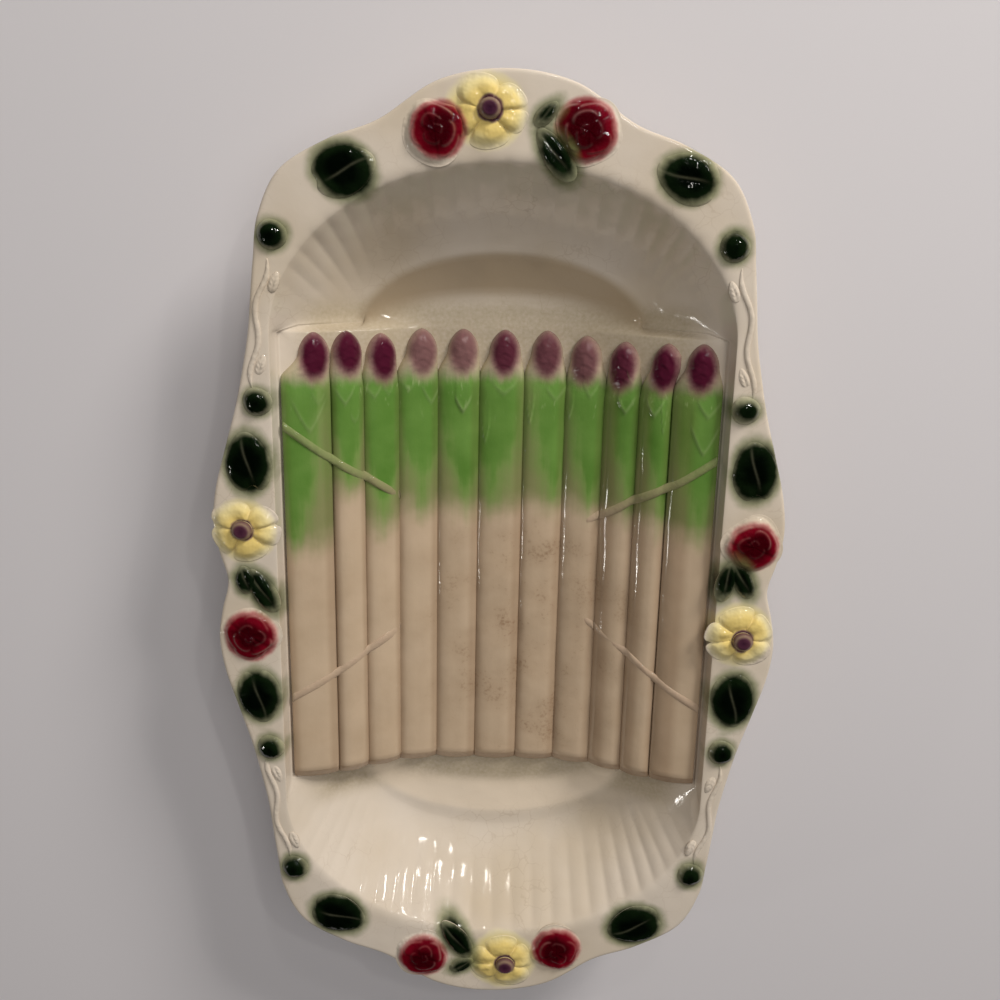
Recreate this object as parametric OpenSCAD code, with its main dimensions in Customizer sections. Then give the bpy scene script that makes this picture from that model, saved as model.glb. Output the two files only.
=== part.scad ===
// Asparagus plate: an oblong moulded dish with a bundle of spears laid over its hollowed deck,
// a fluted well at each end and a garland of sprigs on its flat rim.
// +X runs across the dish, +Y towards the tips of the spears and +Z up.
// The origin is under the middle of the dish, on the table that it stands on.

/* [Dish] */
// Length over the crowns of the two ends
plate_len = 380; // [350:1:410]
// Width over the side lobes
plate_w = 220.8; // [208:0.2:234]
// Height of the flat rim above the table
rim_h = 40.5; // [38:0.5:44]
// Thickness of the rim at its edge
lip_t = 4.2; // [3.4:0.1:5.4]
// Rounding of the rim's two edges
lip_r = 1.2; // [0.8:0.1:1.6]
// Thickness of the body under the walls, measured straight down
wall_t = 7; // [6:0.1:8]
// Thickness of the floor of the wells
floor_t = 5; // [4:0.1:6]

/* [Rim] */
// Width of the rim at the crown of each end
end_rim_w = 30.5; // [28:0.5:33]
// Width of the rim at the side lobes, from the edge of the bundle
side_rim_w = 26.4; // [25:0.2:28]
// Width of the groove between bundle and rim
groove_w = 2; // [1.5:0.1:3]

/* [Wells] */
// Level width of the fluted wall at the end of a well
wall_run = 35.5; // [30:0.5:40]
// Width of the crescent of level floor
floor_run = 12; // [9:0.5:15]
// Half width of the level floor
well_half_w = 54; // [50:0.5:58]
// Rise of the floor at its two corners
corner_lift = 4; // [2:0.5:6]
// Height of a flute over its grooves
flute_h = 0.9; // [0.4:0.1:1.2]
// Number of flutes around a well
flute_n = 30; // [24:2:30]

/* [Bundle] */
// Length of the slope from the tips down to the floor
tip_apron = 15.5; // [13:0.5:18]
// Length of the slope from the cut ends down to the floor
butt_apron = 22.5; // [20:0.5:25]
// Length of the steep riser at the ends of the deck
riser_run = 2; // [1.5:0.1:3]
// Depth of the groove at the edge of the bundle below the rim
deck_drop = 9; // [8:0.5:10.5]
// Depth of the hollow of the deck below its sides
deck_sag = 20; // [16:0.5:20]
// Height of a spear over the deck
spear_h = 5; // [4:0.1:6]
// Gap between neighbouring spears
spear_gap = 0.4; // [0.3:0.05:0.8]
// Length of the bud at the tip of a spear
bud_len = 17; // [14:0.5:20]
// Depth of the V in which a scale ends
scale_v = 4.5; // [3:0.5:6]

/* [Tie cords] */
// Width of a cord, measured along the spears
tie_w = 3.6; // [3:0.1:4.5]
// Thickness of a cord
tie_t = 1.4; // [1:0.1:2]
// Clearance of the cords over the spears and over each other
tie_gap = 0.3; // [0.3:0.05:0.5]
// Place of the lower cord at the left edge of the bundle, ahead of the middle
lower_tie_left = 61; // [50:1:70]
// Place of the lower cord at the right edge
lower_tie_right = -55; // [-65:1:-45]
// Place of the upper cord at the left edge
upper_tie_left = -54; // [-65:1:-45]
// Place of the upper cord at the right edge
upper_tie_right = 51; // [40:1:60]

/* [Sprigs] */
// Diameter of a rose
rose_d = 23; // [20:0.5:24]
// Height of a rose
rose_h = 4.6; // [3:0.2:6]
// Diameter of a yellow flower
flower_d = 25; // [22:0.5:25.5]
// Height of a flower's petals
petal_h = 3.2; // [2:0.1:4]
// Height of the seat in the middle of a flower
seat_h = 2.4; // [1.6:0.1:3]
// Diameter of the boss in the middle of a flower
boss_d = 8.6; // [7:0.2:10]
// Height of that boss
boss_h = 3.4; // [2.4:0.2:4]
// Depth of the dimple in its top
boss_dimple = 0.6; // [0.2:0.1:1]
// Length of a corner leaf
corner_leaf_l = 25; // [22:0.5:26]
// Width of a corner leaf
corner_leaf_w = 20; // [17:0.5:21]
// Height of a corner leaf
corner_leaf_h = 2.6; // [1.6:0.1:3.4]
// Length of a side leaf
side_leaf_l = 24; // [21:0.5:25]
// Width of a side leaf
side_leaf_w = 19; // [16:0.5:19.5]
// Height of a side leaf
side_leaf_h = 2.6; // [1.6:0.1:3.4]
// Length of the longer leaf of a pair
slim_leaf_l = 18; // [15:0.5:18.5]
// Width of the leaves of a pair
slim_leaf_w = 6.4; // [5:0.2:7]
// Height of the leaves of a pair
slim_leaf_h = 2.2; // [1.4:0.1:3]
// Diameter of a bud
bud_d = 11; // [9:0.5:11.5]
// Height of a bud
bud_h = 3.6; // [2.4:0.2:4.4]
// Width of a vine's stem
vine_w = 2.2; // [1.6:0.1:2.6]
// Height of a vine
vine_h = 1.2; // [0.8:0.1:1.6]
// Length of a vine's small leaves
vine_leaf_l = 8; // [6:0.5:8.5]
// Width of a vine's small leaves
vine_leaf_w = 4.2; // [2.6:0.2:4.4]
// Gap between sprigs that stand side by side
sprig_gap = 0.6; // [0.4:0.1:1]
// Place of the side flowers, ahead of the middle on the left and behind it on the right
side_flower_y = 22; // [18:1:26]
// Place of the end flowers beside the crown, to the left on the far end
crown_flower_x = -5.5; // [-7:0.5:-4]
// Room for the leaf pair between side flower and side rose
pair_room = 18; // [17:0.5:20]
// Room for the leaf pair between end flower and end rose
crown_pair_room = 13; // [12:0.5:14]
// Gap between a side leaf and its bud
bud_stem = 6; // [4:0.5:8]

/* [Foot] */
// Height of the foot ring
foot_h = 4.5; // [3.5:0.1:5.5]
// Width of the foot ring's wall
foot_w = 6; // [4:0.5:8]
// Half width of the foot ring over its straight sides
foot_half_w = 38; // [34:0.5:39]
// Distance of the foot ring's ends inside the foot of the wells' walls
foot_inset = 6; // [4:0.5:10]

/* [Hidden] */
half_len = plate_len / 2;
half_w = plate_w / 2;
bundle_half_w = half_w - side_rim_w;
mouth_half_w = bundle_half_w + groove_w;
mouth_reach = half_len - end_rim_w;
well_reach = mouth_reach - wall_run;
apron_reach = well_reach - floor_run;
tip_end = apron_reach - tip_apron;
butt_end = apron_reach - butt_apron;
groove_z = rim_h - deck_drop;
floor_z = foot_h + floor_t;

// The outline in one quarter of the dish, as shares of the half width and the half length.
// It starts at the notch in the long side and ends at the crown of the end.
side_shares = [[0.959, 0], [0.984, 0.063], [1, 0.126], [0.985, 0.2], [0.945, 0.284], [0.903, 0.368],
    [0.874, 0.442]];
end_shares = [[0.851, 0.513], [0.838, 0.582], [0.824, 0.653], [0.804, 0.732], [0.729, 0.816],
    [0.571, 0.872], [0.408, 0.908], [0.217, 0.978], [0, 1]];
outline_shares = concat(side_shares, end_shares);
corner_q = len(side_shares);
crown_q = len(outline_shares) - 1;
// Turn around the mouth of the well from one station of the outline to the next
station_turn = 90 / (crown_q - corner_q);
// Turn around the mouth up to the corner of the level floor
corner_turn = 30;
// Places of corner leaf and corner bud, counted in stations of the outline
corner_leaf_q = 11.5;
corner_bud_q = 9.55;

// Grooves between the spears, from the edge of the bundle to its middle
groove_shares = [1, 0.786, 0.649, 0.492, 0.304, 0.105];
spear_n = 2 * len(groove_shares) - 1;
// Share of the deck's half width that lies level
level_share = 0.3;
// Heights of the rings on the side of the groove, as shares of its flank
flank_shares = [0.15, 0.3];
// Rings on the wall of a well, as shares of its width
wall_shares = [0.5, 0.78];
bowl_power = 1.5;
// How fast the flutes grow from the foot of the wall
flute_share = 1.2;
// Level ground of the foot, as shares of the deck's width and length
ground_w_share = 0.476;
ground_y_share = 0.8;
ground_lap = foot_inset / 4;
// Place of the turn under the rim, as a share of the rim's width
under_share = 0.2;

// Steps of the body's mesh along a side and around a well
side_steps = 4 * corner_q;
well_steps = 3 * flute_n;
spokes = 2 * (side_steps + well_steps);

function numbered(kind, i) = str(kind, i < 10 ? "_0" : "_", i);
function mix(a, b, share) = a + (b - a) * share;
function ease(share) = let (s = min(max(share, 0), 1)) s * s * (3 - 2 * s);
function backwards(list) = [for (i = [len(list) - 1:-1:0]) list[i]];

// Outline and walls of the dish

function station(i) =
    i < 0 ? let (s = outline_shares[-i]) [s.x, -s.y]
    : i > crown_q ? let (s = outline_shares[2 * crown_q - i]) [-s.x, s.y]
    : outline_shares[i];

// A smooth curve through four points, between the middle two
function through(a, b, c, d, t) =
    b + t / 2 * (c - a + t * (2 * a - 5 * b + 4 * c - d + t * (3 * (b - c) + d - a)));

function outline(q) =
    let (i = min(floor(q), crown_q - 1),
        p = through(station(i - 1), station(i), station(i + 1), station(i + 2), q - i))
    [p.x * half_w, p.y * half_len];

// Height of the deck under the spears
function deck_z(x) =
    let (flat = level_share * bundle_half_w)
    groove_z - deck_sag * (1 - ease((abs(x) - flat) / (bundle_half_w - flat)));

function row_y(q, deck_end) = outline(q).y * deck_end / outline(corner_q).y;

function turn_at(q) = max(0, q - corner_q) * station_turn;
function floor_turn(q) = (turn_at(q) - corner_turn) * 90 / (90 - corner_turn);

// Inner edge of the rim
function mouth(q) =
    q <= corner_q ? [mouth_half_w, row_y(q, tip_end)]
    : [mouth_half_w * cos(turn_at(q)), tip_end + (mouth_reach - tip_end) * sin(turn_at(q))];

// A ring at the foot of the groove's flank, of the riser and of the wall
function low_ring(q, deck_end, flank, reach, lap) =
    let (turn = turn_at(q),
        edge = [bundle_half_w + flank * groove_w, mix(groove_z, rim_h - lip_r, flank)],
        corner = turn / corner_turn,
        corner_z = floor_z + corner_lift,
        start = deck_end + riser_run + lap,
        psi = floor_turn(q))
    q <= corner_q ? [edge.x, row_y(q, deck_end), edge.y]
    : corner < 1 ? [mix(edge.x, well_half_w + lap, corner), mix(deck_end + lap, start, min(1, 4 * corner)),
        mix(edge.y, corner_z, corner)]
    : [(well_half_w + lap) * cos(psi), mix(start, reach, sin(psi)),
        floor_z + corner_lift * pow(cos(psi), 4)];

function flute(q, share) =
    -flute_h * cos(2 * turn_at(q) * flute_n) * ease(flute_share * share)
        * min(1, 2 * turn_at(q) / corner_turn);

function level_point(p, z) = [p.x, p.y, z];

// Section of the dish from the edge of the deck, over the rim and back to the foot
function quarter_spoke(q, deck_end) =
    let (o = outline(q),
        m = mouth(q),
        rim_w = norm(o - m),
        lap = riser_run / 4,
        apron = low_ring(q, deck_end, flank_shares[0], apron_reach, 0),
        low = low_ring(q, deck_end, flank_shares[1], well_reach, lap),
        high = level_point(m, rim_h - lip_r),
        wall = [for (s = wall_shares) let (p = mix(low, high, s))
            level_point(p, mix(low.z, high.z, pow(s, bowl_power)))],
        corner = min(1, turn_at(q) / corner_turn),
        psi = max(0, floor_turn(q)),
        ground = [ground_w_share * bundle_half_w, ground_y_share * row_y(min(q, corner_q), deck_end)],
        round_end = [(well_half_w + ground_lap) * cos(psi),
            mix(deck_end + riser_run, well_reach + ground_lap, sin(psi))])
    concat(
        [apron, low],
        [for (i = [0:len(wall) - 1]) wall[i] + [0, 0, flute(q, wall_shares[i])]],
        [high,
            level_point(mix(m, o, lip_r / rim_w), rim_h),
            level_point(mix(o, m, lip_r / rim_w), rim_h),
            level_point(o, rim_h - lip_r),
            level_point(mix(o, m, lip_r / rim_w / 2), rim_h - lip_t),
            level_point(mix(m, o, under_share), rim_h - wall_t),
            mix(low, wall[0], corner) - [0, 0, wall_t],
            level_point(mix(ground, round_end, corner), foot_h)]);

function spoke(q, sx, sy) =
    [for (p = quarter_spoke(q, sy > 0 ? tip_end : butt_end)) [sx * p.x, sy * p.y, p.z]];

function side_spokes(sx) =
    [for (j = [0:side_steps - 1])
        let (t = sx * (2 * j / side_steps - 1) * corner_q) spoke(abs(t), sx, t < 0 ? -1 : 1)];

function well_spokes(sy) =
    [for (j = [0:well_steps - 1])
        let (turn = 180 * j / well_steps)
        spoke(corner_q + min(turn, 180 - turn) / station_turn, turn < 90 ? sy : -sy, sy)];

function groove_x(i) =
    bundle_half_w * (i < len(groove_shares) ? groove_shares[i] : -groove_shares[spear_n - i]);

function deck_side(sx) =
    [for (j = [0:side_steps - 1])
        let (t = sx * (2 * j / side_steps - 1) * corner_q)
        [sx * bundle_half_w, sign(t) * row_y(abs(t), t < 0 ? butt_end : tip_end), groove_z]];

function deck_line(sy) =
    [for (i = [0:spear_n - 1])
        let (x = sy * groove_x(i)) [x, sy > 0 ? tip_end : -butt_end, deck_z(x)]];

// Triangles between a line of n coarse steps from a and a line of m fine steps from b
function zip(a, n, b, m) = concat(
    [for (j = [0:m - 1]) [a + round((j + 0.5) * n / m), b + j, b + j + 1]],
    [for (i = [0:n - 1]) [a + i, b + ceil((i + 0.5) * m / n - 0.5), a + i + 1]]);

function quad(a, b, c, d) = [[a, b, c], [a, c, d]];

// Closed skin over sections with the same number of points, that go round the way ahead
module loft(sections) {
    n = len(sections[0]);
    last = len(sections) - 1;
    sides = [for (s = [0:last - 1]) for (c = [0:n - 1])
        let (d = (c + 1) % n) for (f = quad(s * n + c, s * n + d, (s + 1) * n + d, (s + 1) * n + c)) f];
    caps = [for (c = [1:n - 2]) for (f = [[0, c + 1, c], [last * n, last * n + c, last * n + c + 1]]) f];
    polyhedron([for (s = sections) for (p = s) p], [for (f = concat(sides, caps)) backwards(f)]);
}

module dish_body() {
    ring = concat(side_spokes(1), well_spokes(1), side_spokes(-1), well_spokes(-1));
    depth = len(ring[0]);
    deck = concat(deck_side(1), deck_line(1), deck_side(-1), deck_line(-1));
    top = side_steps;
    left = top + spear_n;
    low = left + side_steps;
    deck_n = len(deck);
    inner = [for (section = ring) section[0]];
    // Deck points first, then the inner ring, then each spoke's further points
    points = concat(deck, [deck[0]], inner, [inner[0]], [for (r = [1:depth - 1]) for (s = ring) s[r]],
        [[0, 0, foot_h]]);
    first = deck_n + 1;
    beyond = first + spokes + 1;
    centre = len(points) - 1;
    function at(k, r) = r == 0 ? first + k % spokes : beyond + (r - 1) * spokes + k % spokes;
    strips = [for (i = [1:spear_n - 2])
        for (f = quad(low + spear_n - i, top + i, top + i + 1, low + spear_n - i - 1)) f];
    outer_strips = concat(
        [for (j = [0:side_steps - 1])
            for (f = [[deck_n - 1, j, j + 1], [left - 1, left + j, left + j + 1]]) f],
        [[deck_n - 1, top, top + 1], [left - 1, low, low + 1]]);
    flanks = [for (j = [0:side_steps - 1])
        for (f = concat(quad(j, first + j, first + j + 1, j + 1),
            quad(left + j, first + side_steps + well_steps + j, first + side_steps + well_steps + j + 1,
                left + j + 1))) f];
    ends = concat(zip(top, spear_n, first + side_steps, well_steps),
        zip(low, spear_n, first + 2 * side_steps + well_steps, well_steps));
    bands = [for (r = [0:depth - 2]) for (k = [0:spokes - 1])
        for (f = quad(at(k, r), at(k, r + 1), at(k + 1, r + 1), at(k + 1, r))) f];
    ground = [for (k = [0:spokes - 1]) [at(k, depth - 1), centre, at(k + 1, depth - 1)]];
    wrapped = [for (f = concat(strips, outer_strips, flanks, ends, bands, ground))
        [for (i = f) i == deck_n ? 0 : i == first + spokes ? first : i]];
    color("ivory") polyhedron(points, [for (f = wrapped) backwards(f)]);
}

module stadium(half_width, reach) {
    square([2 * half_width, 2 * (reach - half_width)], center = true);
    for (sy = [-1, 1]) translate([0, sy * (reach - half_width)]) circle(half_width, $fn = 96);
}

module foot_ring() {
    reach = well_reach - foot_inset;
    color("tan") linear_extrude(foot_h) difference() {
        stadium(foot_half_w, reach);
        stadium(foot_half_w - foot_w, reach - foot_w);
    }
}

// Spears, counted from left to right

// Stations along a spear: the place from the cut end in spear heights or back from the tip in
// bud lengths, the width and the height as shares, and how much of the V they take
butt_shares = [[0, 0.93, 0.86, 0], [0.12, 1, 1, 0]];
tip_shares = [[2.9, 1, 1, 1], [2.86, 0.95, 0.88, 1], [1.28, 1, 1, 1], [1.24, 0.9, 0.8, 1],
    [0.95, 0.84, 0.86, 0.4], [0.6, 0.96, 1.04, 0], [0.32, 0.86, 0.98, 0], [0.12, 0.6, 0.74, 0],
    [0, 0.26, 0.34, 0]];
spear_len = tip_end + butt_end;
spear_stations = concat(
    [for (s = butt_shares) [s[0] * spear_h, s[1], s[2], s[3]]],
    [for (s = tip_shares) [spear_len - s[0] * bud_len, s[1], s[2], s[3]]]);
spear_columns = 8;

// The strip of the deck under a spear: its left and right edge
function strip(i) = [for (k = [spear_n - i, spear_n - i - 1]) [groove_x(k), deck_z(groove_x(k))]];
function strip_tilt(i) = let (s = strip(i), d = s[1] - s[0]) atan2(d.y, d.x);
function spear_w(i) = let (s = strip(i)) norm(s[1] - s[0]) - spear_gap;

// Half an ellipse, from left to right at t from -1 to 1
function arch(t, w, h) = [w / 2 * sin(90 * t), h * cos(90 * t)];

module spear(i) {
    mid = (strip(i)[0] + strip(i)[1]) / 2;
    sections = [for (s = spear_stations)
        [for (c = [0:spear_columns])
            let (t = 2 * c / spear_columns - 1, p = arch(t, s[1] * spear_w(i), s[2] * spear_h))
            [p.x, s[0] + s[3] * scale_v * (abs(t) - 1), c == 0 || c == spear_columns ? 0 : p.y]]];
    color("darkkhaki") translate([mid.x, -butt_end, mid.y]) rotate([0, -strip_tilt(i), 0]) loft(sections);
}

// Tie cords, that follow the backs of the spears

cord_shares = [-0.66, -0.33, 0, 0.33, 0.66];
cord_end_share = 0.9;
cord_dip_share = 0.4;
cord_crest_share = 0.28;
// Extent of the hump where the upper cord crosses, flat and in all, as shares of a cord's width
hump_shares = [1.6, 2.8];

function on_spear(i, t) =
    let (s = strip(i), tilt = strip_tilt(i), p = arch(t, spear_w(i), spear_h) + [0, tie_gap])
    (s[0] + s[1]) / 2 + [p.x * cos(tilt) - p.y * sin(tilt), p.x * sin(tilt) + p.y * cos(tilt)];

function over_groove(i) = strip(i)[1] + [0, cord_dip_share * spear_h + tie_gap];

cord_route = concat(
    [on_spear(0, -cord_end_share)],
    [for (i = [0:spear_n - 1])
        for (p = concat([for (t = cord_shares) on_spear(i, t)], i < spear_n - 1 ? [over_groove(i)] : [])) p],
    [on_spear(spear_n - 1, cord_end_share)]);

// Crossing of the two cords
cross_share = (upper_tie_left - lower_tie_left)
    / (lower_tie_right - lower_tie_left - upper_tie_right + upper_tie_left);
cross_x = mix(-bundle_half_w, bundle_half_w, cross_share);

module tie_cord(left, right, hump) {
    crest = cord_crest_share * tie_w;
    reach = tie_w * hump_shares;
    sections = [for (p = cord_route)
        let (y = mix(left, right, (p.x + bundle_half_w) / (2 * bundle_half_w)),
            rise = hump * ease((reach[1] - abs(p.x - cross_x)) / (reach[1] - reach[0])))
        [for (c = [[tie_w / 2, 0], [crest, tie_t], [-crest, tie_t], [-tie_w / 2, 0]])
            [p.x, y + c.x, p.y + c.y + rise]]];
    color("palegoldenrod") loft(sections);
}

module tie_cord_lower() { tie_cord(lower_tie_left, lower_tie_right, 0); }

module tie_cord_upper() { tie_cord(upper_tie_left, upper_tie_right, tie_t + tie_gap); }

// Sprigs, each modelled with its seat at height 0 and its tip towards +Y

// Rings of a rose: radius, height and depth of the lobes as shares, then their number and turn
rose_shares = [[1, 0, 0.06, 5, 0], [0.95, 0.42, 0.06, 5, 0], [0.78, 0.5, 0.05, 3, 20],
    [0.7, 0.82, 0.05, 3, 20], [0.5, 0.62, 0.09, 2, 70], [0.42, 1, 0.09, 2, 70],
    [0.16, 0.74, 0.2, 1, 40]];
rose_steps = 20;

module rose() {
    color("crimson") loft([for (r = rose_shares)
        [for (k = [0:rose_steps - 1])
            let (a = 360 * k / rose_steps,
                radius = rose_d / 2 * r[0] * (1 - r[2] + r[2] * cos(r[3] * (a - r[4]))))
            [radius * cos(a), radius * sin(a), r[1] * rose_h]]]);
}

petal_n = 6;
petal_steps = 5;
// Rings of the petals: radius, height, depth of the notches and of the creases as shares
petal_shares = [[1, 0, 0.2, 0], [0.93, 0.5, 0.2, 0.3], [0.68, 1, 0.1, 0.3]];

module flower() {
    steps = petal_n * petal_steps;
    petals = [for (r = petal_shares) [r[0] * flower_d / 2, r[1] * petal_h, r[2], r[3]]];
    color("khaki") loft([for (r = concat(petals, [[boss_d / 2, seat_h, 0, 0]]))
        [for (k = [0:steps - 1])
            let (a = 360 * k / steps, crease = 1 - abs(sin(180 * k / petal_steps)),
                radius = r[0] * (1 - r[2] * crease))
            [radius * cos(a), radius * sin(a), r[1] * (1 - r[3] * crease)]]]);
}

// Radius of the ball from which a dome of width w and height h is cut
function ball_r(w, h) = (w * w / 4 + h * h) / (2 * h);

// Right half of a dome's section
module dome(w, h) {
    intersection() {
        translate([0, h - ball_r(w, h)]) circle(ball_r(w, h), $fn = 96);
        square([w / 2, h]);
    }
}

module boss() {
    hollow = ball_r(boss_d / 2, boss_dimple);
    color("rebeccapurple") rotate_extrude($fn = 48) difference() {
        dome(boss_d, boss_h);
        translate([0, boss_h - boss_dimple + hollow]) circle(hollow, $fn = 96);
    }
}

// Sections along a leaf: place, width and height as shares, and how far its middle is drawn in
leaf_shares = [[0, 0.3, 0.3, 0.1], [0.1, 0.82, 0.75, 0.08], [0.32, 1, 1, 0.04], [0.6, 0.86, 0.95, 0],
    [0.84, 0.5, 0.7, 0], [1, 0.06, 0.2, 0]];
// Across a leaf: place and height as shares, with the vein as a furrow in the middle
blade_shares = [[-1, 0], [-0.6, 0.86], [-0.16, 1], [0, 0.7], [0.16, 1], [0.6, 0.86], [1, 0]];
small_blade_shares = [[-1, 0], [-0.4, 1], [0.4, 1], [1, 0]];

module leaf(l, w, h, across) {
    loft([for (s = leaf_shares)
        [for (c = across)
            [c.x * s[1] * w / 2, l * (s[0] - 0.5 + s[3] * (1 - abs(c.x))), c.y * s[2] * h]]]);
}

module bud() { color("darkslategray") rotate_extrude($fn = 48) dome(bud_d, bud_h); }

// Garland

crown_margin = lip_r + sprig_gap;
side_x_table = [for (q = [0:0.25:corner_q]) [outline(q).y, outline(q).x]];
function side_mid(y) = [(bundle_half_w + lookup(abs(y), side_x_table)) / 2, y];
function toward(angle, distance) = distance * [cos(angle), sin(angle)];

// The left side, from its flower outwards, and the far end, from its flower outwards
side_rose_y = side_flower_y - flower_d / 2 - pair_room - rose_d / 2;
side_leaf_y = [side_flower_y + (flower_d + side_leaf_l) / 2 + sprig_gap,
    side_rose_y - (rose_d + side_leaf_l) / 2 - 3 * sprig_gap];
side_bud_y = [side_leaf_y[0] + (side_leaf_l + bud_d) / 2 + bud_stem,
    side_leaf_y[1] - (side_leaf_l + bud_d) / 2 - bud_stem];
side_flower = [-side_mid(side_flower_y).x, side_flower_y];
crown_flower = [crown_flower_x, half_len - crown_margin - flower_d / 2];
crown_roses = [crown_flower + toward(201, (flower_d + rose_d) / 2 + sprig_gap),
    crown_flower + toward(-10, (flower_d + rose_d) / 2 + crown_pair_room)];
corner_places = [for (q = [corner_leaf_q, corner_bud_q]) (mouth(q) + outline(q)) / 2];

// Even numbers stand on the left side and the far end, odd ones face them across the middle
module placed(p, turn, i) {
    rotate(i % 2 * 180) translate([p.x, p.y, rim_h]) rotate(turn) children();
}

rose_places = [crown_roses[0], crown_roses[1], [-side_mid(side_rose_y).x, side_rose_y]];
rose_turns = [15, 140, 250];

module rose_at(i) {
    k = floor(i / 2);
    placed(rose_places[k], rose_turns[k], i) rose();
}

module yellow_flower(i) {
    placed(i < 2 ? crown_flower : side_flower, i < 2 ? 12 : 20, i) flower();
}

module flower_centre(i) {
    placed(i < 2 ? crown_flower : side_flower, 0, i) translate([0, 0, seat_h]) boss();
}

// The two leaves of a pair: bearing of the foot from the flower, heading, and as shares the room
// between foot and flower in leaf widths and the length
crown_pair_shares = [[-35, -36, 0.75, 1], [-22, 62, 0.6, 0.72]];
side_pair_shares = [[-68, -72, 0.4, 1], [-88, -105, 0.3, 0.72]];

module leaf_pair(i) {
    flower = i < 2 ? crown_flower : side_flower;
    color("darkgreen") for (s = i < 2 ? crown_pair_shares : side_pair_shares) {
        foot = flower + toward(s[0], flower_d / 2 + s[2] * slim_leaf_w);
        placed(foot + toward(s[1], s[3] * slim_leaf_l / 2), s[1] - 90, i)
            leaf(s[3] * slim_leaf_l, slim_leaf_w, slim_leaf_h, blade_shares);
    }
}

module corner_leaf(i) {
    p = corner_places[0];
    sx = i < 2 ? -1 : 1;
    color("darkgreen") placed([sx * p.x, p.y], sx * 70, i)
        leaf(corner_leaf_l, corner_leaf_w, corner_leaf_h, blade_shares);
}

module side_leaf(i) {
    y = side_leaf_y[floor(i / 2)];
    color("darkgreen") placed([-side_mid(y).x, y], i < 2 ? 6 : 188, i)
        leaf(side_leaf_l, side_leaf_w, side_leaf_h, blade_shares);
}

module corner_bud(i) {
    p = corner_places[1];
    placed([(i < 2 ? -1 : 1) * p.x, p.y], 0, i) bud();
}

module side_bud(i) {
    y = side_bud_y[floor(i / 2)];
    placed([-side_mid(y).x, y], 0, i) bud();
}

// Vines, from a side bud to the corner bud before it

vine_n = 12;
// Middle of the vine and its swing to the sides, across the rim
vine_shares = [0.55, 0.12];
// Small leaves: place along the vine and side
vine_leaf_shares = [[0.2, 1], [0.85, 1]];
vine_reach_share = 1.1;

function rim_at(q, across) = mix(mouth(q), outline(q), across);
vine_q_table = [for (q = [0:0.25:corner_bud_q]) [rim_at(q, vine_shares[0]).y, q]];

module vine(i) {
    bud_y = abs(side_bud_y[floor(i / 2)]);
    first_q = lookup(bud_y + bud_d / 2 + sprig_gap, vine_q_table);
    station_len = norm(rim_at(corner_bud_q, vine_shares[0]) - rim_at(corner_bud_q - 1, vine_shares[0]));
    last_q = corner_bud_q - vine_reach_share * bud_d / 2 / station_len;
    function route(share) =
        rim_at(mix(first_q, last_q, share), vine_shares[0] + vine_shares[1] * sin(720 * share));
    function heading(share) =
        let (d = route(share + 1 / vine_n / 8) - route(share - 1 / vine_n / 8)) atan2(d.y, d.x);
    sections = [for (k = [0:vine_n])
        let (share = k / vine_n, p = route(share), a = heading(share))
        [for (c = [[-vine_w / 2, 0], [-vine_w / 4, vine_h], [vine_w / 4, vine_h], [vine_w / 2, 0]])
            [p.x + c.x * sin(a), p.y - c.x * cos(a), rim_h + c.y]]];
    flip = i < 2 ? [1, 0, 0] : [0, 0, 0];
    color("ivory") rotate(i % 2 * 180) mirror(flip) {
        loft(sections);
        for (s = vine_leaf_shares) {
            a = heading(s[0]);
            p = route(s[0]) + toward(a + s[1] * 90, (vine_w + vine_leaf_w) / 2 + sprig_gap / 2);
            translate([p.x, p.y, rim_h]) rotate(a - 90)
                leaf(vine_leaf_l, vine_leaf_w, vine_h, small_blade_shares);
        }
    }
}

dish_body();
foot_ring();
for (i = [0:spear_n - 1]) spear(i);
tie_cord_lower();
tie_cord_upper();
for (i = [0:5]) rose_at(i);
for (i = [0:3]) {
    yellow_flower(i);
    flower_centre(i);
    leaf_pair(i);
    corner_leaf(i);
    side_leaf(i);
    corner_bud(i);
    side_bud(i);
    vine(i);
}
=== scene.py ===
"""Looks of an asparagus plate.

A long scalloped dish of cream earthenware. A bundle of spears, tied with two crossing cords, lies
in relief on its hollowed deck. A fluted well opens at each end, and a painted garland of roses,
yellow flowers, leaves and buds runs along its flat rim.

+X runs across the dish, +Y towards the tips of the spears and +Z up. Sizes in the classes are in
millimetres; the bench turns them into metres when it forms a mesh.
"""
from __future__ import annotations

import logging
import math
from dataclasses import dataclass
from enum import Enum
from typing import Sequence

import bpy
import numpy as np
from mathutils import Matrix, Vector
from mathutils.kdtree import KDTree

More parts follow.
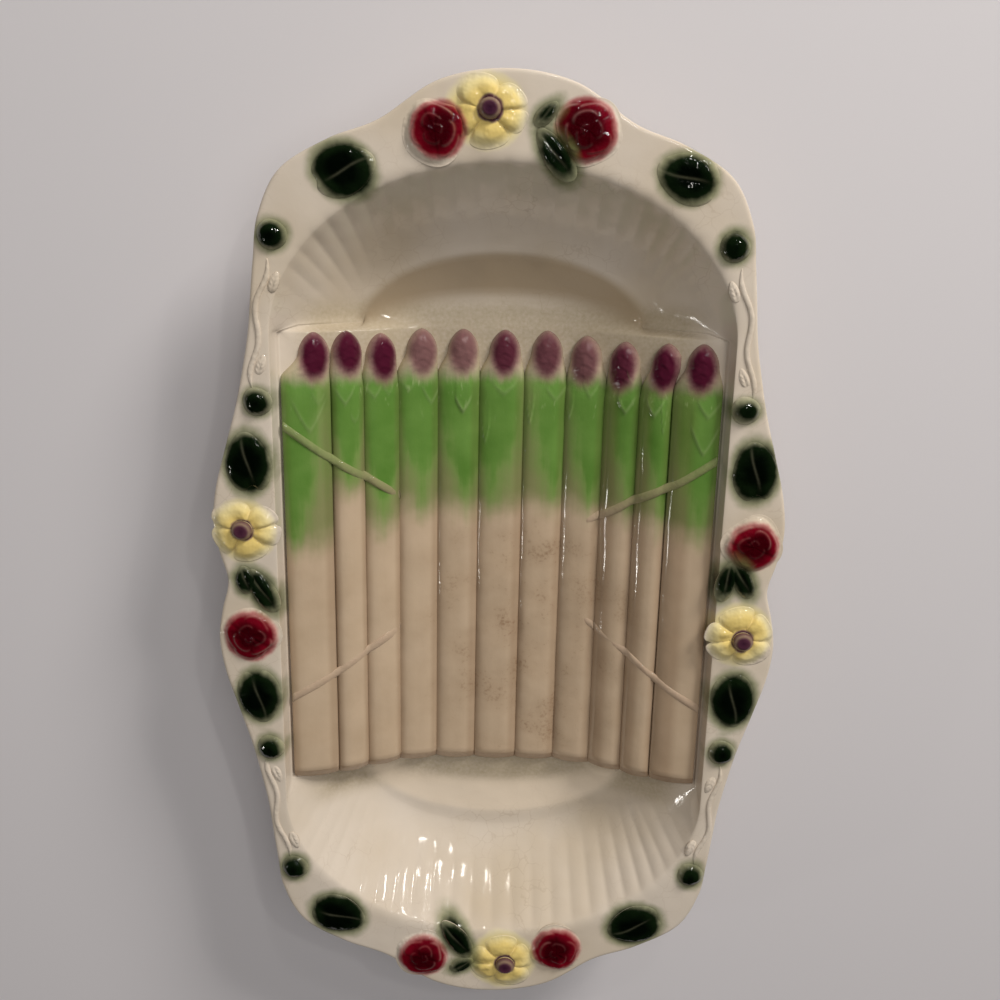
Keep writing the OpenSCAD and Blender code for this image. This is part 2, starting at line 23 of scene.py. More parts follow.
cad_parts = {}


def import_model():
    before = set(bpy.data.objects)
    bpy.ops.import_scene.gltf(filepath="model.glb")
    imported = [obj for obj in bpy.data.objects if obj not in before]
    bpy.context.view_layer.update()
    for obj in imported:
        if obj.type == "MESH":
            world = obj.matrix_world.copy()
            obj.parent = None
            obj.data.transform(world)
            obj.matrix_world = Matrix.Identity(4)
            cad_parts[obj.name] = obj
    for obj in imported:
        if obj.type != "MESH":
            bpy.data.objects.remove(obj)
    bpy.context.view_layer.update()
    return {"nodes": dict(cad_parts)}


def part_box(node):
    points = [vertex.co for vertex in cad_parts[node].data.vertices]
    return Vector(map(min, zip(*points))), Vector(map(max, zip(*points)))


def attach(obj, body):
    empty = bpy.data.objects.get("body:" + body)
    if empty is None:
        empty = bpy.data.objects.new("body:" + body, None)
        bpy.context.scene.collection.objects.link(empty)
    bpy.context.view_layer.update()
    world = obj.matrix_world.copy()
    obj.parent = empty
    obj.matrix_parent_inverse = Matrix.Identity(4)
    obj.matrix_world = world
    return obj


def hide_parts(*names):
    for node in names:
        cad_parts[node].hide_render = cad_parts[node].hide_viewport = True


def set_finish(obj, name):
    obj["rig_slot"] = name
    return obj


LOG = logging.getLogger("asparagus_plate")
MM = 0.001
BODY = "root"
HALF_TURN = 180.0
QUARTER_TURN = 90.0
GLAZE_ROUGHNESS = 0.1
Array = np.ndarray
Colour = tuple[float, float, float, float]


# Small sums


def mix(a: Array | float, b: Array | float, share: Array | float) -> Array | float:
    """Goes from a to b by a share."""
    return a + (b - a) * share


def ramp(value: Array | float, low: Array | float, high: Array | float) -> Array:
    """Soft step from 0 where a value is low to 1 where it is high, falling where low is the greater."""
    s = np.clip((value - low) / (high - low), 0.0, 1.0)
    return s * s * (3.0 - 2.0 * s)


def bell(distance: Array | float, reach: float) -> Array:
    """Soft bump of height 1 that fades out over about twice its reach."""
    return np.exp(-((distance / reach) ** 2))


def ripple(x: Array, y: Array, pitch: float, seed: int) -> Array:
    """Smooth unevenness between about -1 and 1.

    Args:
        x: Places along the first direction.
        y: Places along the second direction.
        pitch: Usual distance from one swell to the next.
        seed: Start of the random draw.

    Returns:
        The height at each place.
    """
    draw = np.random.default_rng(seed)
    total = np.zeros_like(np.asarray(x, float))
    waves = 7
    for _ in range(waves):
        heading, phase = draw.uniform(0.0, math.tau, 2)
        number = math.tau / (pitch * draw.uniform(0.7, 1.6))
        total += np.sin(number * (x * math.cos(heading) + y * math.sin(heading)) + phase)
    return total / math.sqrt(waves)


def turned(x: Array, y: Array, degrees: float) -> tuple[Array, Array]:
    """Coordinates of a place in axes that are turned by an angle."""
    c, s = math.cos(math.radians(degrees)), math.sin(math.radians(degrees))
    return c * x + s * y, c * y - s * x


def stacked(*parts: Array | float) -> Array:
    """Points from their coordinates, of which any may be one number."""
    return np.stack(np.broadcast_arrays(*parts), axis=-1).astype(float)


def level(points: Array, z: Array | float) -> Array:
    """Points with a height of their own."""
    return stacked(points[:, 0], points[:, 1], z)


def closed(rings: Array) -> Array:
    """A row of rings with a point at each end, in the middle of the ring beside it."""
    ends = [np.broadcast_to(ring.mean(0), ring.shape)[None] for ring in (rings[0], rings[-1])]
    return np.concatenate([ends[0], rings, ends[1]])


def polar(rings: int, steps: int) -> tuple[Array, Array]:
    """Shares of a radius as a column, and angles once around as a row."""
    return np.linspace(0.0, 1.0, rings)[:, None], np.linspace(0.0, math.tau, steps + 1)[None, :]


# Bench


class Bench:
    """Steps of modelling that several pieces share. Points nearer than the seam gap are one."""

    SEAM_GAP = 0.002

    @staticmethod
    def clear() -> None:
        """Leaves object mode with nothing selected."""
        if bpy.context.object and bpy.context.object.mode != "OBJECT":
            bpy.ops.object.mode_set(mode="OBJECT")
        bpy.ops.object.select_all(action="DESELECT")

    @staticmethod
    def places(piece: bpy.types.Object) -> Array:
        """Points of a piece's mesh, in millimetres.

        Args:
            piece: The piece.

        Returns:
            A row of coordinates for each point.
        """
        flat = np.empty(len(piece.data.vertices) * 3, np.float32)
        piece.data.vertices.foreach_get("co", flat)
        return flat.reshape(-1, 3).astype(float) / MM

    @staticmethod
    def formed(name: str, points: Array) -> bpy.types.Object:
        """Makes a closed piece: bends a flat sheet over a table of points, merges its seams and poles
        and turns its faces outwards.

        Args:
            name: Name of the piece.
            points: Table of rows, columns and coordinates.

        Returns:
            The new piece.
        """
        rows, columns = points.shape[:2]
        Bench.clear()
        bpy.ops.mesh.primitive_grid_add(x_subdivisions=columns - 1, y_subdivisions=rows - 1, size=2.0 * MM)
        piece = bpy.context.object
        piece.name = piece.data.name = name
        shares = (Bench.places(piece)[:, :2] + 1.0) / 2.0
        column, row = np.rint(shares * (columns - 1, rows - 1)).astype(int).T
        bent = (points[row, column] * MM).astype(np.float32)
        piece.data.vertices.foreach_set("co", bent.ravel())
        piece.data.update()
        bpy.ops.object.mode_set(mode="EDIT")
        bpy.ops.mesh.select_all(action="SELECT")
        bpy.ops.mesh.remove_doubles(threshold=Bench.SEAM_GAP * MM)
        bpy.ops.mesh.dissolve_degenerate(threshold=Bench.SEAM_GAP * MM)
        bpy.ops.mesh.normals_make_consistent(inside=False)
        bpy.ops.object.mode_set(mode="OBJECT")
        bpy.ops.object.shade_smooth()
        return piece

    @staticmethod
    def joined(pieces: Sequence[bpy.types.Object], name: str) -> bpy.types.Object:
        """Joins pieces into one.

        Args:
            pieces: The pieces, of which the first takes up the others.
            name: Name of the joined piece.

        Returns:
            The joined piece.
        """
        Bench.clear()
        for piece in pieces:
            piece.select_set(True)
        bpy.context.view_layer.objects.active = pieces[0]
        bpy.ops.object.join()
        piece = bpy.context.object
        piece.name = piece.data.name = name
        return piece

    @staticmethod
    def looks_up(piece: bpy.types.Object) -> Array:
        """Shares of 1 for points that look up or sideways and 0 for points that look down.

        Args:
            piece: The piece.

        Returns:
            The share of each point.
        """
        normals = np.empty(3 * len(piece.data.vertices))
        piece.data.vertices.foreach_get("normal", normals)
        return ramp(normals[2::3], -0.4, 0.0)

    @staticmethod
    def note(piece: bpy.types.Object, name: str, values: Array | float) -> None:
        """Stores a number for each point of a piece, for its finish to read."""
        layer = piece.data.attributes.new(name, "FLOAT", "POINT")
        layer.data.foreach_set("value", np.full(len(piece.data.vertices), values, np.float32))

    @staticmethod
    def crested(name: str, placed: Array, crest: Array) -> bpy.types.Object:
        """Forms a piece and notes how far each of its points is a pale edge.

        Args:
            name: Name of the piece.
            placed: Table of rows, columns and coordinates.
            crest: How bare of paint the points of its first rows are, found again by their place.

        Returns:
            The new piece.
        """
        piece = Bench.formed(name, placed)
        flat = placed[:crest.shape[0]].reshape(-1, 3)
        values = np.clip(crest, 0.0, 1.0).ravel()
        tree = KDTree(len(flat))
        for i, point in enumerate(flat):
            tree.insert(point, i)
        tree.balance()
        nearest = [tree.find(place)[1] for place in Bench.places(piece)]
        Bench.note(piece, "crest", values[nearest])
        return piece

    @staticmethod
    def fit(piece: bpy.types.Object, slot: str, *nodes: str) -> None:
        """Puts a piece in the place of its nodes, on the plate's one body.

        Args:
            piece: The finished piece.
            slot: Material slot of the record from which it takes its finish.
            nodes: Nodes for which it stands.
        """
        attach(piece, BODY)
        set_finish(piece, slot)
        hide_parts(*nodes)
        LOG.info("%s: %d faces, stands for %s", piece.name, len(piece.data.polygons), ", ".join(nodes))


# Dish


SIDE_SHARES = ((0.959, 0), (0.984, 0.063), (1, 0.126), (0.985, 0.2), (0.945, 0.284), (0.903, 0.368),
               (0.874, 0.442))
END_SHARES = ((0.851, 0.513), (0.838, 0.582), (0.824, 0.653), (0.804, 0.732), (0.729, 0.816),
              (0.571, 0.872), (0.408, 0.908), (0.217, 0.978), (0, 1))


@dataclass
class Bend:
    """A corner in the section of the dish.

    Attributes:
        points: The corner on every spoke, unrounded.
        reach: How far its rounding reaches to either side.
        rows: Rows of points on the rounding.
        span: Steps of the straight stretch that follows.
    """

    points: Array
    reach: float = 0.0
    rows: int = 1
    span: int = 1


@dataclass(frozen=True)
class Dish:
    """Sizes and forms of the dish. Shares are of the width or length that they go with."""

    half_len: float = 190.0
    half_w: float = 110.4
    rim_h: float = 40.5
    lip_t: float = 4.2
    lip_r: float = 1.2
    wall_t: float = 7.0
    floor_z: float = 9.5
    foot_h: float = 4.5
    bundle_half_w: float = 84.0
    mouth_half_w: float = 86.0
    mouth_reach: float = 159.5
    well_reach: float = 124.0
    apron_reach: float = 112.0
    tip_end: float = 96.5
    butt_end: float = 89.5
    well_half_w: float = 54.0
    corner_lift: float = 4.0
    corner_turn: float = 30.0
    riser_run: float = 2.0
    riser_lap: float = 0.5
    ground_lap: float = 1.5
    groove_z: float = 31.5
    deck_sag: float = 20.0
    level_share: float = 0.3
    deck_shares: tuple[float, ...] = (0.0, 0.1, 0.25, 0.4, 0.55, 0.7, 0.85, 0.95)
    flank_shares: tuple[float, float] = (0.15, 0.3)
    wall_span: tuple[float, float, int] = (0.04, 0.93, 25)
    bowl_power: float = 1.5
    ground_w_share: float = 0.476
    ground_y_share: float = 0.8
    spine_share: float = 0.8
    under_share: float = 0.2
    flute_h: float = 0.4
    flute_n: int = 30
    uneven_h: float = 0.12
    uneven_pitch: float = 34.0
    side_steps: int = 110
    well_steps: int = 240

    @property
    def corner_q(self) -> int:
        """Station of the outline at which the long side ends."""
        return len(SIDE_SHARES)

    @property
    def crown_q(self) -> int:
        """Station of the outline at the crown of the end."""
        return len(SIDE_SHARES) + len(END_SHARES) - 1

    def station(self, index: Array) -> Array:
        """Shares of the outline's stations, mirrored beyond both of its ends.

        Args:
            index: Numbers of the stations.

        Returns:
            Their shares of the half width and half length.
        """
        shares = np.array(SIDE_SHARES + END_SHARES, float)
        before, beyond = index < 0, index > self.crown_q
        kept = np.where(before, -index, np.where(beyond, 2 * self.crown_q - index, index))
        points = shares[kept].copy()
        points[before, 1] *= -1.0
        points[beyond, 0] *= -1.0
        return points

    def outline(self, q: Array) -> Array:
        """Outer edge of the rim in the first quarter, a smooth curve through the stations.

        Args:
            q: Stations of its points, whole or between two.

        Returns:
            The points, across and along.
        """
        q = np.atleast_1d(np.asarray(q, float))
        i = np.minimum(np.floor(q).astype(int), self.crown_q - 1)
        t = (q - i)[:, None]
        a, b, c, d = (self.station(i + k) for k in (-1, 0, 1, 2))
        shares = b + t / 2.0 * (c - a + t * (2.0 * a - 5.0 * b + 4.0 * c - d + t * (3.0 * (b - c) + d - a)))
        return shares * np.array([self.half_w, self.half_len])

    def turn(self, q: Array) -> Array:
        """Turn around the mouth of the well, in degrees."""
        return np.maximum(0.0, q - self.corner_q) * QUARTER_TURN / (self.crown_q - self.corner_q)

    def floor_turn(self, turn: Array) -> Array:
        """Turn around the level floor, in radians, that goes with a turn around the mouth."""
        past = np.maximum(0.0, turn - self.corner_turn)
        return np.radians(past * QUARTER_TURN / (QUARTER_TURN - self.corner_turn))

    def row_y(self, q: Array, deck_end: Array | float) -> Array:
        """Place along the dish of a point of its long side."""
        corner = self.outline(self.corner_q)[0, 1]
        return self.outline(q)[:, 1] * deck_end / corner

    def mouth(self, q: Array) -> Array:
        """Inner edge of the rim in the first quarter.

        Args:
            q: Stations of its points.

        Returns:
            The points, across and along.
        """
        q = np.atleast_1d(np.asarray(q, float))
        turn = np.radians(self.turn(q))
        side = stacked(self.mouth_half_w, self.row_y(q, self.tip_end))
        end = stacked(self.mouth_half_w * np.cos(turn), mix(self.tip_end, self.mouth_reach, np.sin(turn)))
        return np.where((q <= self.corner_q)[:, None], side, end)

    def deck_z(self, x: Array | float) -> Array:
        """Height of the deck under the spears."""
        flat = self.level_share * self.bundle_half_w
        return self.groove_z - self.deck_sag * ramp(np.abs(x), self.bundle_half_w, flat)

    def low_ring(self, q: Array, deck_end: Array, flank: float, reach: float, lap: float) -> Array:
        """A ring at the foot of the groove's flank, of the riser or of the wall.

        Args:
            q: Stations of its points.
            deck_end: Where the deck ends, for each point.
            flank: How far up the groove's flank it runs along the sides, as a share.
            reach: How far it reaches along the plate.
            lap: How far it stands off the riser.

        Returns:
            The ring in the first quarter.
        """
        turn = self.turn(q)
        edge_x = mix(self.bundle_half_w, self.mouth_half_w, flank)
        edge_z = mix(self.groove_z, self.rim_h - self.lip_r, flank)
        corner = turn / self.corner_turn
        start = deck_end + self.riser_run + lap
        psi = self.floor_turn(turn)
        side = stacked(edge_x, self.row_y(q, deck_end), edge_z)
        bend = stacked(mix(edge_x, self.well_half_w + lap, corner),
                       mix(deck_end + lap, start, np.minimum(1.0, 4.0 * corner)),
                       mix(edge_z, self.floor_z + self.corner_lift, corner))
        end = stacked((self.well_half_w + lap) * np.cos(psi), mix(start, reach, np.sin(psi)),
                      self.floor_z + self.corner_lift * np.cos(psi) ** 4)
        return np.where((q <= self.corner_q)[:, None], side, np.where((corner < 1.0)[:, None], bend, end))

    def flute(self, q: Array, share: float) -> Array:
        """Height of the flutes, round-backed with narrow grooves between them.

        Args:
            q: Stations of the points.
            share: How far up the wall they lie.

        Returns:
            The height of each.
        """
        turn = self.turn(q)
        back = np.abs(np.sin(np.radians(turn * self.flute_n)))
        return self.flute_h * (2.0 * back - 1.2) * ramp(share, 0.1, 0.9) * ramp(turn, 5.0, 50.0)

    def wall(self, low: Array, high: Array, share: float) -> Array:
        """A ring on the wall of a well, without its flutes."""
        return level(mix(low, high, share), mix(low[:, 2], high[:, 2], share ** self.bowl_power))

    def spokes(self) -> tuple[Array, Array, Array]:
        """Stations and quarters of the spokes, once around the dish from its right side.

        Returns:
            The station of each spoke, and its signs across and along.
        """
        side = (2.0 * np.arange(self.side_steps) / self.side_steps - 1.0) * self.corner_q
        turn = HALF_TURN * np.arange(self.well_steps) / self.well_steps
        stations = self.crown_q - self.corner_q
        well_q = self.corner_q + np.minimum(turn, HALF_TURN - turn) * stations / QUARTER_TURN
        across = np.where(turn < QUARTER_TURN, 1.0, -1.0)
        ahead = np.where(side < 0.0, -1.0, 1.0)
        q = np.concatenate([np.abs(side), well_q, np.abs(side), well_q])
        sx = np.concatenate([np.ones_like(side), across, -np.ones_like(side), -across])
        sy = np.concatenate([ahead, np.ones_like(turn), -ahead, -np.ones_like(turn)])
        return q, sx, sy

    def bends(self, q: Array, deck_end: Array) -> list[Bend]:
        """Corners of the section from the middle of the deck, over the rim and back to the foot.

        Args:
            q: Stations of the spokes.
            deck_end: Where the deck ends, for each spoke.

        Returns:
            The corners in order.
        """
        turn = self.turn(q)
        corner = np.minimum(1.0, turn / self.corner_turn)[:, None]
        psi = self.floor_turn(turn)
        outer, inner = self.outline(q), self.mouth(q)
        rim_w = np.linalg.norm(outer - inner, axis=1)[:, None]
        side_y = self.row_y(np.minimum(q, self.corner_q), deck_end)
        edge = stacked(self.bundle_half_w * (1.0 - turn / QUARTER_TURN), side_y)
        apron = self.low_ring(q, deck_end, self.flank_shares[0], self.apron_reach, 0.0)
        low = self.low_ring(q, deck_end, self.flank_shares[1], self.well_reach, self.riser_lap)
        high = level(inner, self.rim_h)
        knee = mix(low, self.wall(low, high, 0.5), corner) - (0.0, 0.0, self.wall_t)
        ground = stacked(self.ground_w_share * self.bundle_half_w, self.ground_y_share * side_y)
        round_end = stacked((self.well_half_w + self.ground_lap) * np.cos(psi),
                            mix(deck_end + self.riser_run, self.well_reach + self.ground_lap, np.sin(psi)))
        foot = mix(ground, round_end, corner)
        return [
            *(Bend(level(share * edge, self.deck_z(share * edge[:, 0]))) for share in self.deck_shares),
            Bend(level(edge, self.deck_z(edge[:, 0])), reach=0.8, rows=3, span=9),
            Bend(apron, reach=6.0, rows=6, span=3),
            Bend(low, reach=1.0, rows=2),
            *(Bend(self.wall(low, high, share) + stacked(0.0, 0.0, self.flute(q, share)))
              for share in np.linspace(*self.wall_span)),
            Bend(high, reach=4.6, rows=10, span=15),
            Bend(level(outer, self.rim_h), reach=1.9, rows=7, span=2),
            Bend(level(mix(outer, inner, self.lip_r / rim_w / 2.0), self.rim_h - self.lip_t),
                 reach=1.6, rows=5, span=5),
            Bend(level(mix(inner, outer, self.under_share), self.rim_h - self.wall_t),
                 reach=6.0, rows=6, span=7),
            Bend(knee, reach=7.0, rows=6, span=6),
            Bend(level(foot, self.foot_h), reach=3.0, rows=5, span=4),
            Bend(stacked(0.0, self.spine_share * foot[:, 1], self.foot_h)),
        ]

    def surface(self) -> Array:
        """The whole skin of the dish as a table of rings and spokes.

        Returns:
            Table of rings, spokes and coordinates.
        """
        q, sx, sy = self.spokes()
        bends = self.bends(q, np.where(sy > 0.0, self.tip_end, self.butt_end))
        rows = []
        for i, bend in enumerate(bends):
            before = bends[max(i - 1, 0)].points
            after = bends[min(i + 1, len(bends) - 1)].points
            enter, leave = (Dish.towards(bend.points, p, bend.reach) for p in (before, after))
            for t in np.linspace(0.0, 1.0, bend.rows) if bend.rows > 1 else (0.5,):
                rows.append((1 - t) ** 2 * enter + 2 * t * (1 - t) * bend.points + t ** 2 * leave)
            if i + 1 < len(bends):
                following = Dish.towards(after, bend.points, bends[i + 1].reach)
                rows += [mix(leave, following, s / bend.span) for s in range(1, bend.span)]
        table = np.stack(rows) * stacked(sx, sy, 1.0)
        table = np.concatenate([table, table[:, :1]], axis=1)
        x, y, z = np.moveaxis(table, -1, 0)
        top = ramp(z, self.floor_z - 2.0, self.floor_z + 4.0)
        table[..., 2] += self.uneven_h * top * ripple(x, y, self.uneven_pitch, 11)
        return table

    @staticmethod
    def towards(points: Array, target: Array, reach: float) -> Array:
        """Points moved towards a target by a distance, but never past the middle.

        Args:
            points: The points.
            target: The point towards which each moves.
            reach: The distance.

        Returns:
            The moved points.
        """
        way = target - points
        length = np.maximum(np.linalg.norm(way, axis=1)[:, None], 1e-9)
        return points + way * np.minimum(reach / length, 0.48)


# Paint


class Paint(Enum):
    """Colours that are brushed on the sprigs under the glaze."""

    GREEN = "green_paint"
    CRIMSON = "crimson_paint"
    YELLOW = "yellow_paint"
    VIOLET = "violet_paint"


@dataclass(frozen=True)
class Patch:
    """A brushed spot of colour.

    Attributes:
        x, y: Its middle.
        half_w, half_l: Half its width and half its length.
        turn: Its turn in degrees.
    """

    x: float
    y: float
    half_w: float
    half_l: float
    turn: float = 0.0

    def depth(self, x: Array, y: Array) -> Array:
        """How far inside the spot's edge a place lies, negative outside it.

        Args:
            x: Places across the plate.
            y: Places along it.

        Returns:
            The depth of each, in millimetres.
        """
        across, along = turned(x - self.x, y - self.y, self.turn)
        share = np.hypot(across / self.half_w, along / self.half_l)
        return (1.0 - share) * min(self.half_w, self.half_l)


PATCHES = {
    Paint.CRIMSON: tuple(Patch(*row) for row in (
        (-23.8, 169.2, 9.9, 9.8), (27.2, 169.9, 10.8, 11.0), (-97.3, -22.6, 10.2, 10.6),
        (98.2, 18.9, 9.9, 9.8), (-29.0, -171.3, 10.4, 10.4), (28.6, -166.6, 10.3, 10.2))),
    Paint.YELLOW: tuple(Patch(*row) for row in (
        (-7.5, 175.6, 14.2, 13.0), (-98.3, 20.9, 12.6, 13.0),
        (95.9, -18.0, 12.8, 13.6), (5.2, -172.8, 14.6, 14.0))),
    Paint.VIOLET: tuple(Patch(*row) for row in (
        (-6.1, 176.4, 4.5, 4.5), (-98.6, 21.8, 4.5, 4.4),
        (97.0, -20.2, 4.5, 4.6), (6.5, -174.0, 4.6, 4.6))),
    Paint.GREEN: tuple(Patch(*row) for row in (
        (-57.2, 155.0, 11.8, 10.2, -20.0), (63.9, 154.7, 10.8, 8.8, -20.0),
        (-95.5, 48.0, 9.4, 12.9), (-95.1, -48.8, 9.3, 12.0),
        (95.4, -46.9, 9.8, 12.8), (96.6, 48.3, 9.4, 12.9),
        (-65.4, -151.2, 12.4, 10.0, -24.0), (61.7, -154.0, 12.5, 10.0, 12.0),
        (-83.4, 132.4, 5.8, 5.7), (82.4, 131.2, 5.8, 6.4),
        (-91.1, 71.6, 5.5, 5.4), (-91.4, -72.0, 5.4, 5.7),
        (91.1, 72.0, 5.7, 4.6), (92.8, -70.4, 5.4, 5.7),
        (-83.4, -128.4, 5.7, 6.2), (84.0, -128.4, 5.5, 6.4),
        (17.2, 161.5, 5.6, 11.4, 36.0), (13.4, 175.0, 3.5, 5.8, -45.0),
        (-91.8, -3.7, 5.6, 10.6, 29.0), (-98.4, 0.6, 4.9, 6.3, 10.0),
        (89.0, 4.0, 4.7, 9.0, -13.0), (95.3, 4.9, 4.7, 9.0, 27.0),
        (-14.6, -162.9, 5.7, 11.2, 34.0), (-12.4, -176.0, 3.7, 6.2, -62.0))),
}


class Brush:
    """Notes the brushed spots on the meshes. A place that no spot reaches lies far outside."""

    FAR = -9.0

    @staticmethod
    def note(piece: bpy.types.Object) -> None:
        """Notes for each paint how deep the points of a piece lie inside its spots.

        Args:
            piece: The formed piece.
        """
        x, y, _ = Bench.places(piece).T
        above = Bench.looks_up(piece)
        for paint in Paint:
            depth = np.full(len(x), Brush.FAR)
            for patch in PATCHES[paint]:
                depth = np.maximum(depth, patch.depth(x, y))
            Bench.note(piece, paint.value, mix(Brush.FAR, depth, above))

    @staticmethod
    def nearest(paint: Paint, x: float, y: float) -> list[Patch]:
        """The spots of one paint, the nearest to a place first."""
        return sorted(PATCHES[paint], key=lambda patch: math.hypot(patch.x - x, patch.y - y))


@dataclass
class DishBody:
    """The body of the plate.

    Attributes:
        dish: Its sizes.
        ledge_half_w: Half the width of the ledges on which the glaze lies thick beside the bundle.
        ledge_lap: How far the far and the near ledge lie under the bundle.
        ledge_reach: How far they reach beyond it at full strength.
        shading_oval_inner, shading_oval_outer: Half width and length of the ovals between which painted shade
            lies on the far well's floor and painted light on the near well's floor.
    """

    dish: Dish
    ledge_half_w: float = 82.0
    ledge_lap: tuple[float, float] = (24.0, 4.0)
    ledge_reach: tuple[float, float] = (6.0, 10.0)
    shading_oval_inner: tuple[float, float] = (48.0, 13.0)
    shading_oval_outer: tuple[float, float] = (56.5, 29.5)

    def model(self) -> bpy.types.Object:
        """Forms the dish in one closed skin and notes the paint, the thick glaze and the painted shade and
        light of the wells on it.

        Returns:
            The finished piece.
        """
        piece = Bench.formed("dish", self.dish.surface())
        Brush.note(piece)
        x, y, _ = Bench.places(piece).T
        deck_end, lap, reach = (np.where(y > 0.0, *pair) for pair in (
            (self.dish.tip_end, self.dish.butt_end), self.ledge_lap, self.ledge_reach))
        beyond = np.abs(y) - deck_end
        above = Bench.looks_up(piece)
        sides = ramp(np.abs(x), self.ledge_half_w, self.ledge_half_w - 14.0)
        ledge = ramp(beyond, -lap, 4.0 - lap) * ramp(beyond, reach + 9.0, reach) * sides
        # Painted shade on the far well's floor and painted light on the near well's floor, in a band between
        # two ovals.
        inner, outer = (np.hypot(x / half_w, np.maximum(0.0, beyond) / half_l)
                        for half_w, half_l in (self.shading_oval_inner, self.shading_oval_outer))
        well_light_and_shade = ramp(inner, 0.75, 1.25) * ramp(outer, 1.05, 0.93) * ramp(beyond, 0.0, 5.0)
        Bench.note(piece, "ledge", above * ledge)
        Bench.note(piece, "well_light_and_shade", above * well_light_and_shade)
        Bench.fit(piece, "cream_glaze", "dish_body")
        return piece


# Bundle


@dataclass(frozen=True)
class Bract:
    """A scale on a spear, that ends in a raised V.

    Attributes:
        tip: Place of its point, along the plate.
        off: Its place across the spear, as a share of half the width.
        reach: Half its width as such a share.
        depth: How far its point lies before its corners.
        height: Height of its edge.
    """

    tip: float
    off: float
    reach: float
    depth: float
    height: float


@dataclass(frozen=True)
class SpearPlan:
    """What sets one spear apart.

    Attributes:
        oval: Middle of its bud, across and along the plate.
        depth: Strength of the purple.
        low: Place where its green ends.
        lean: Side to which the green is fullest.
        bracts: Its scales.
    """

    oval: tuple[float, float]
    depth: float
    low: float
    lean: float
    bracts: tuple[Bract, ...]


SPEAR_PLANS = tuple(SpearPlan(*row[:4], tuple(Bract(*bract) for bract in row[4:])) for row in (
    ((-71.6, 87.9), 1.0, 16.0, -0.7, (59.2, 0.1, 0.75, 13.0, 0.5), (70.0, 0.5, 0.3, 4.0, 0.3)),
    ((-59.9, 89.2), 1.0, 38.0, -0.2, (69.4, -0.3, 0.6, 6.0, 0.5), (62.0, 0.3, 0.3, 3.0, 0.3)),
    ((-47.3, 86.1), 1.0, 22.0, -0.1, (71.0, -0.5, 0.4, 4.0, 0.45), (72.0, 0.3, 0.3, 3.0, 0.3)),
    ((-31.6, 88.2), 0.6, 28.0, 0.1, (68.0, 0.6, 0.5, 7.0, 0.5), (73.0, -0.5, 0.4, 4.0, 0.3)),
    ((-15.4, 88.9), 0.6, 27.0, 0.4, (64.7, 0.25, 0.4, 6.0, 0.9)),
    ((1.0, 88.2), 0.92, 28.0, -0.3, (72.0, 0.1, 0.6, 5.0, 0.4), (52.0, -0.7, 0.2, 9.0, 0.4)),
    ((17.6, 87.8), 0.8, 29.0, 0.6, (70.0, 0.5, 0.5, 5.0, 0.4), (60.0, -0.7, 0.2, 10.0, 0.5)),
    ((33.0, 86.0), 0.7, 28.0, 0.5, (72.0, 0.3, 0.4, 5.0, 0.45), (63.0, -0.7, 0.2, 6.0, 0.4)),
    ((47.7, 84.7), 0.95, 27.0, 0.9, (67.0, 0.35, 0.5, 6.0, 0.65), (78.0, 0.7, 0.3, 5.0, 0.3)),
    ((63.2, 85.4), 1.0, 26.0, 0.9, (67.1, 0.1, 0.6, 6.0, 0.6), (60.0, 0.7, 0.2, 13.0, 0.4)),
    ((76.0, 86.2), 1.0, 22.0, 0.5, (53.6, 0.4, 0.6, 11.0, 0.6), (68.0, 0.5, 0.5, 6.0, 0.5)),
))


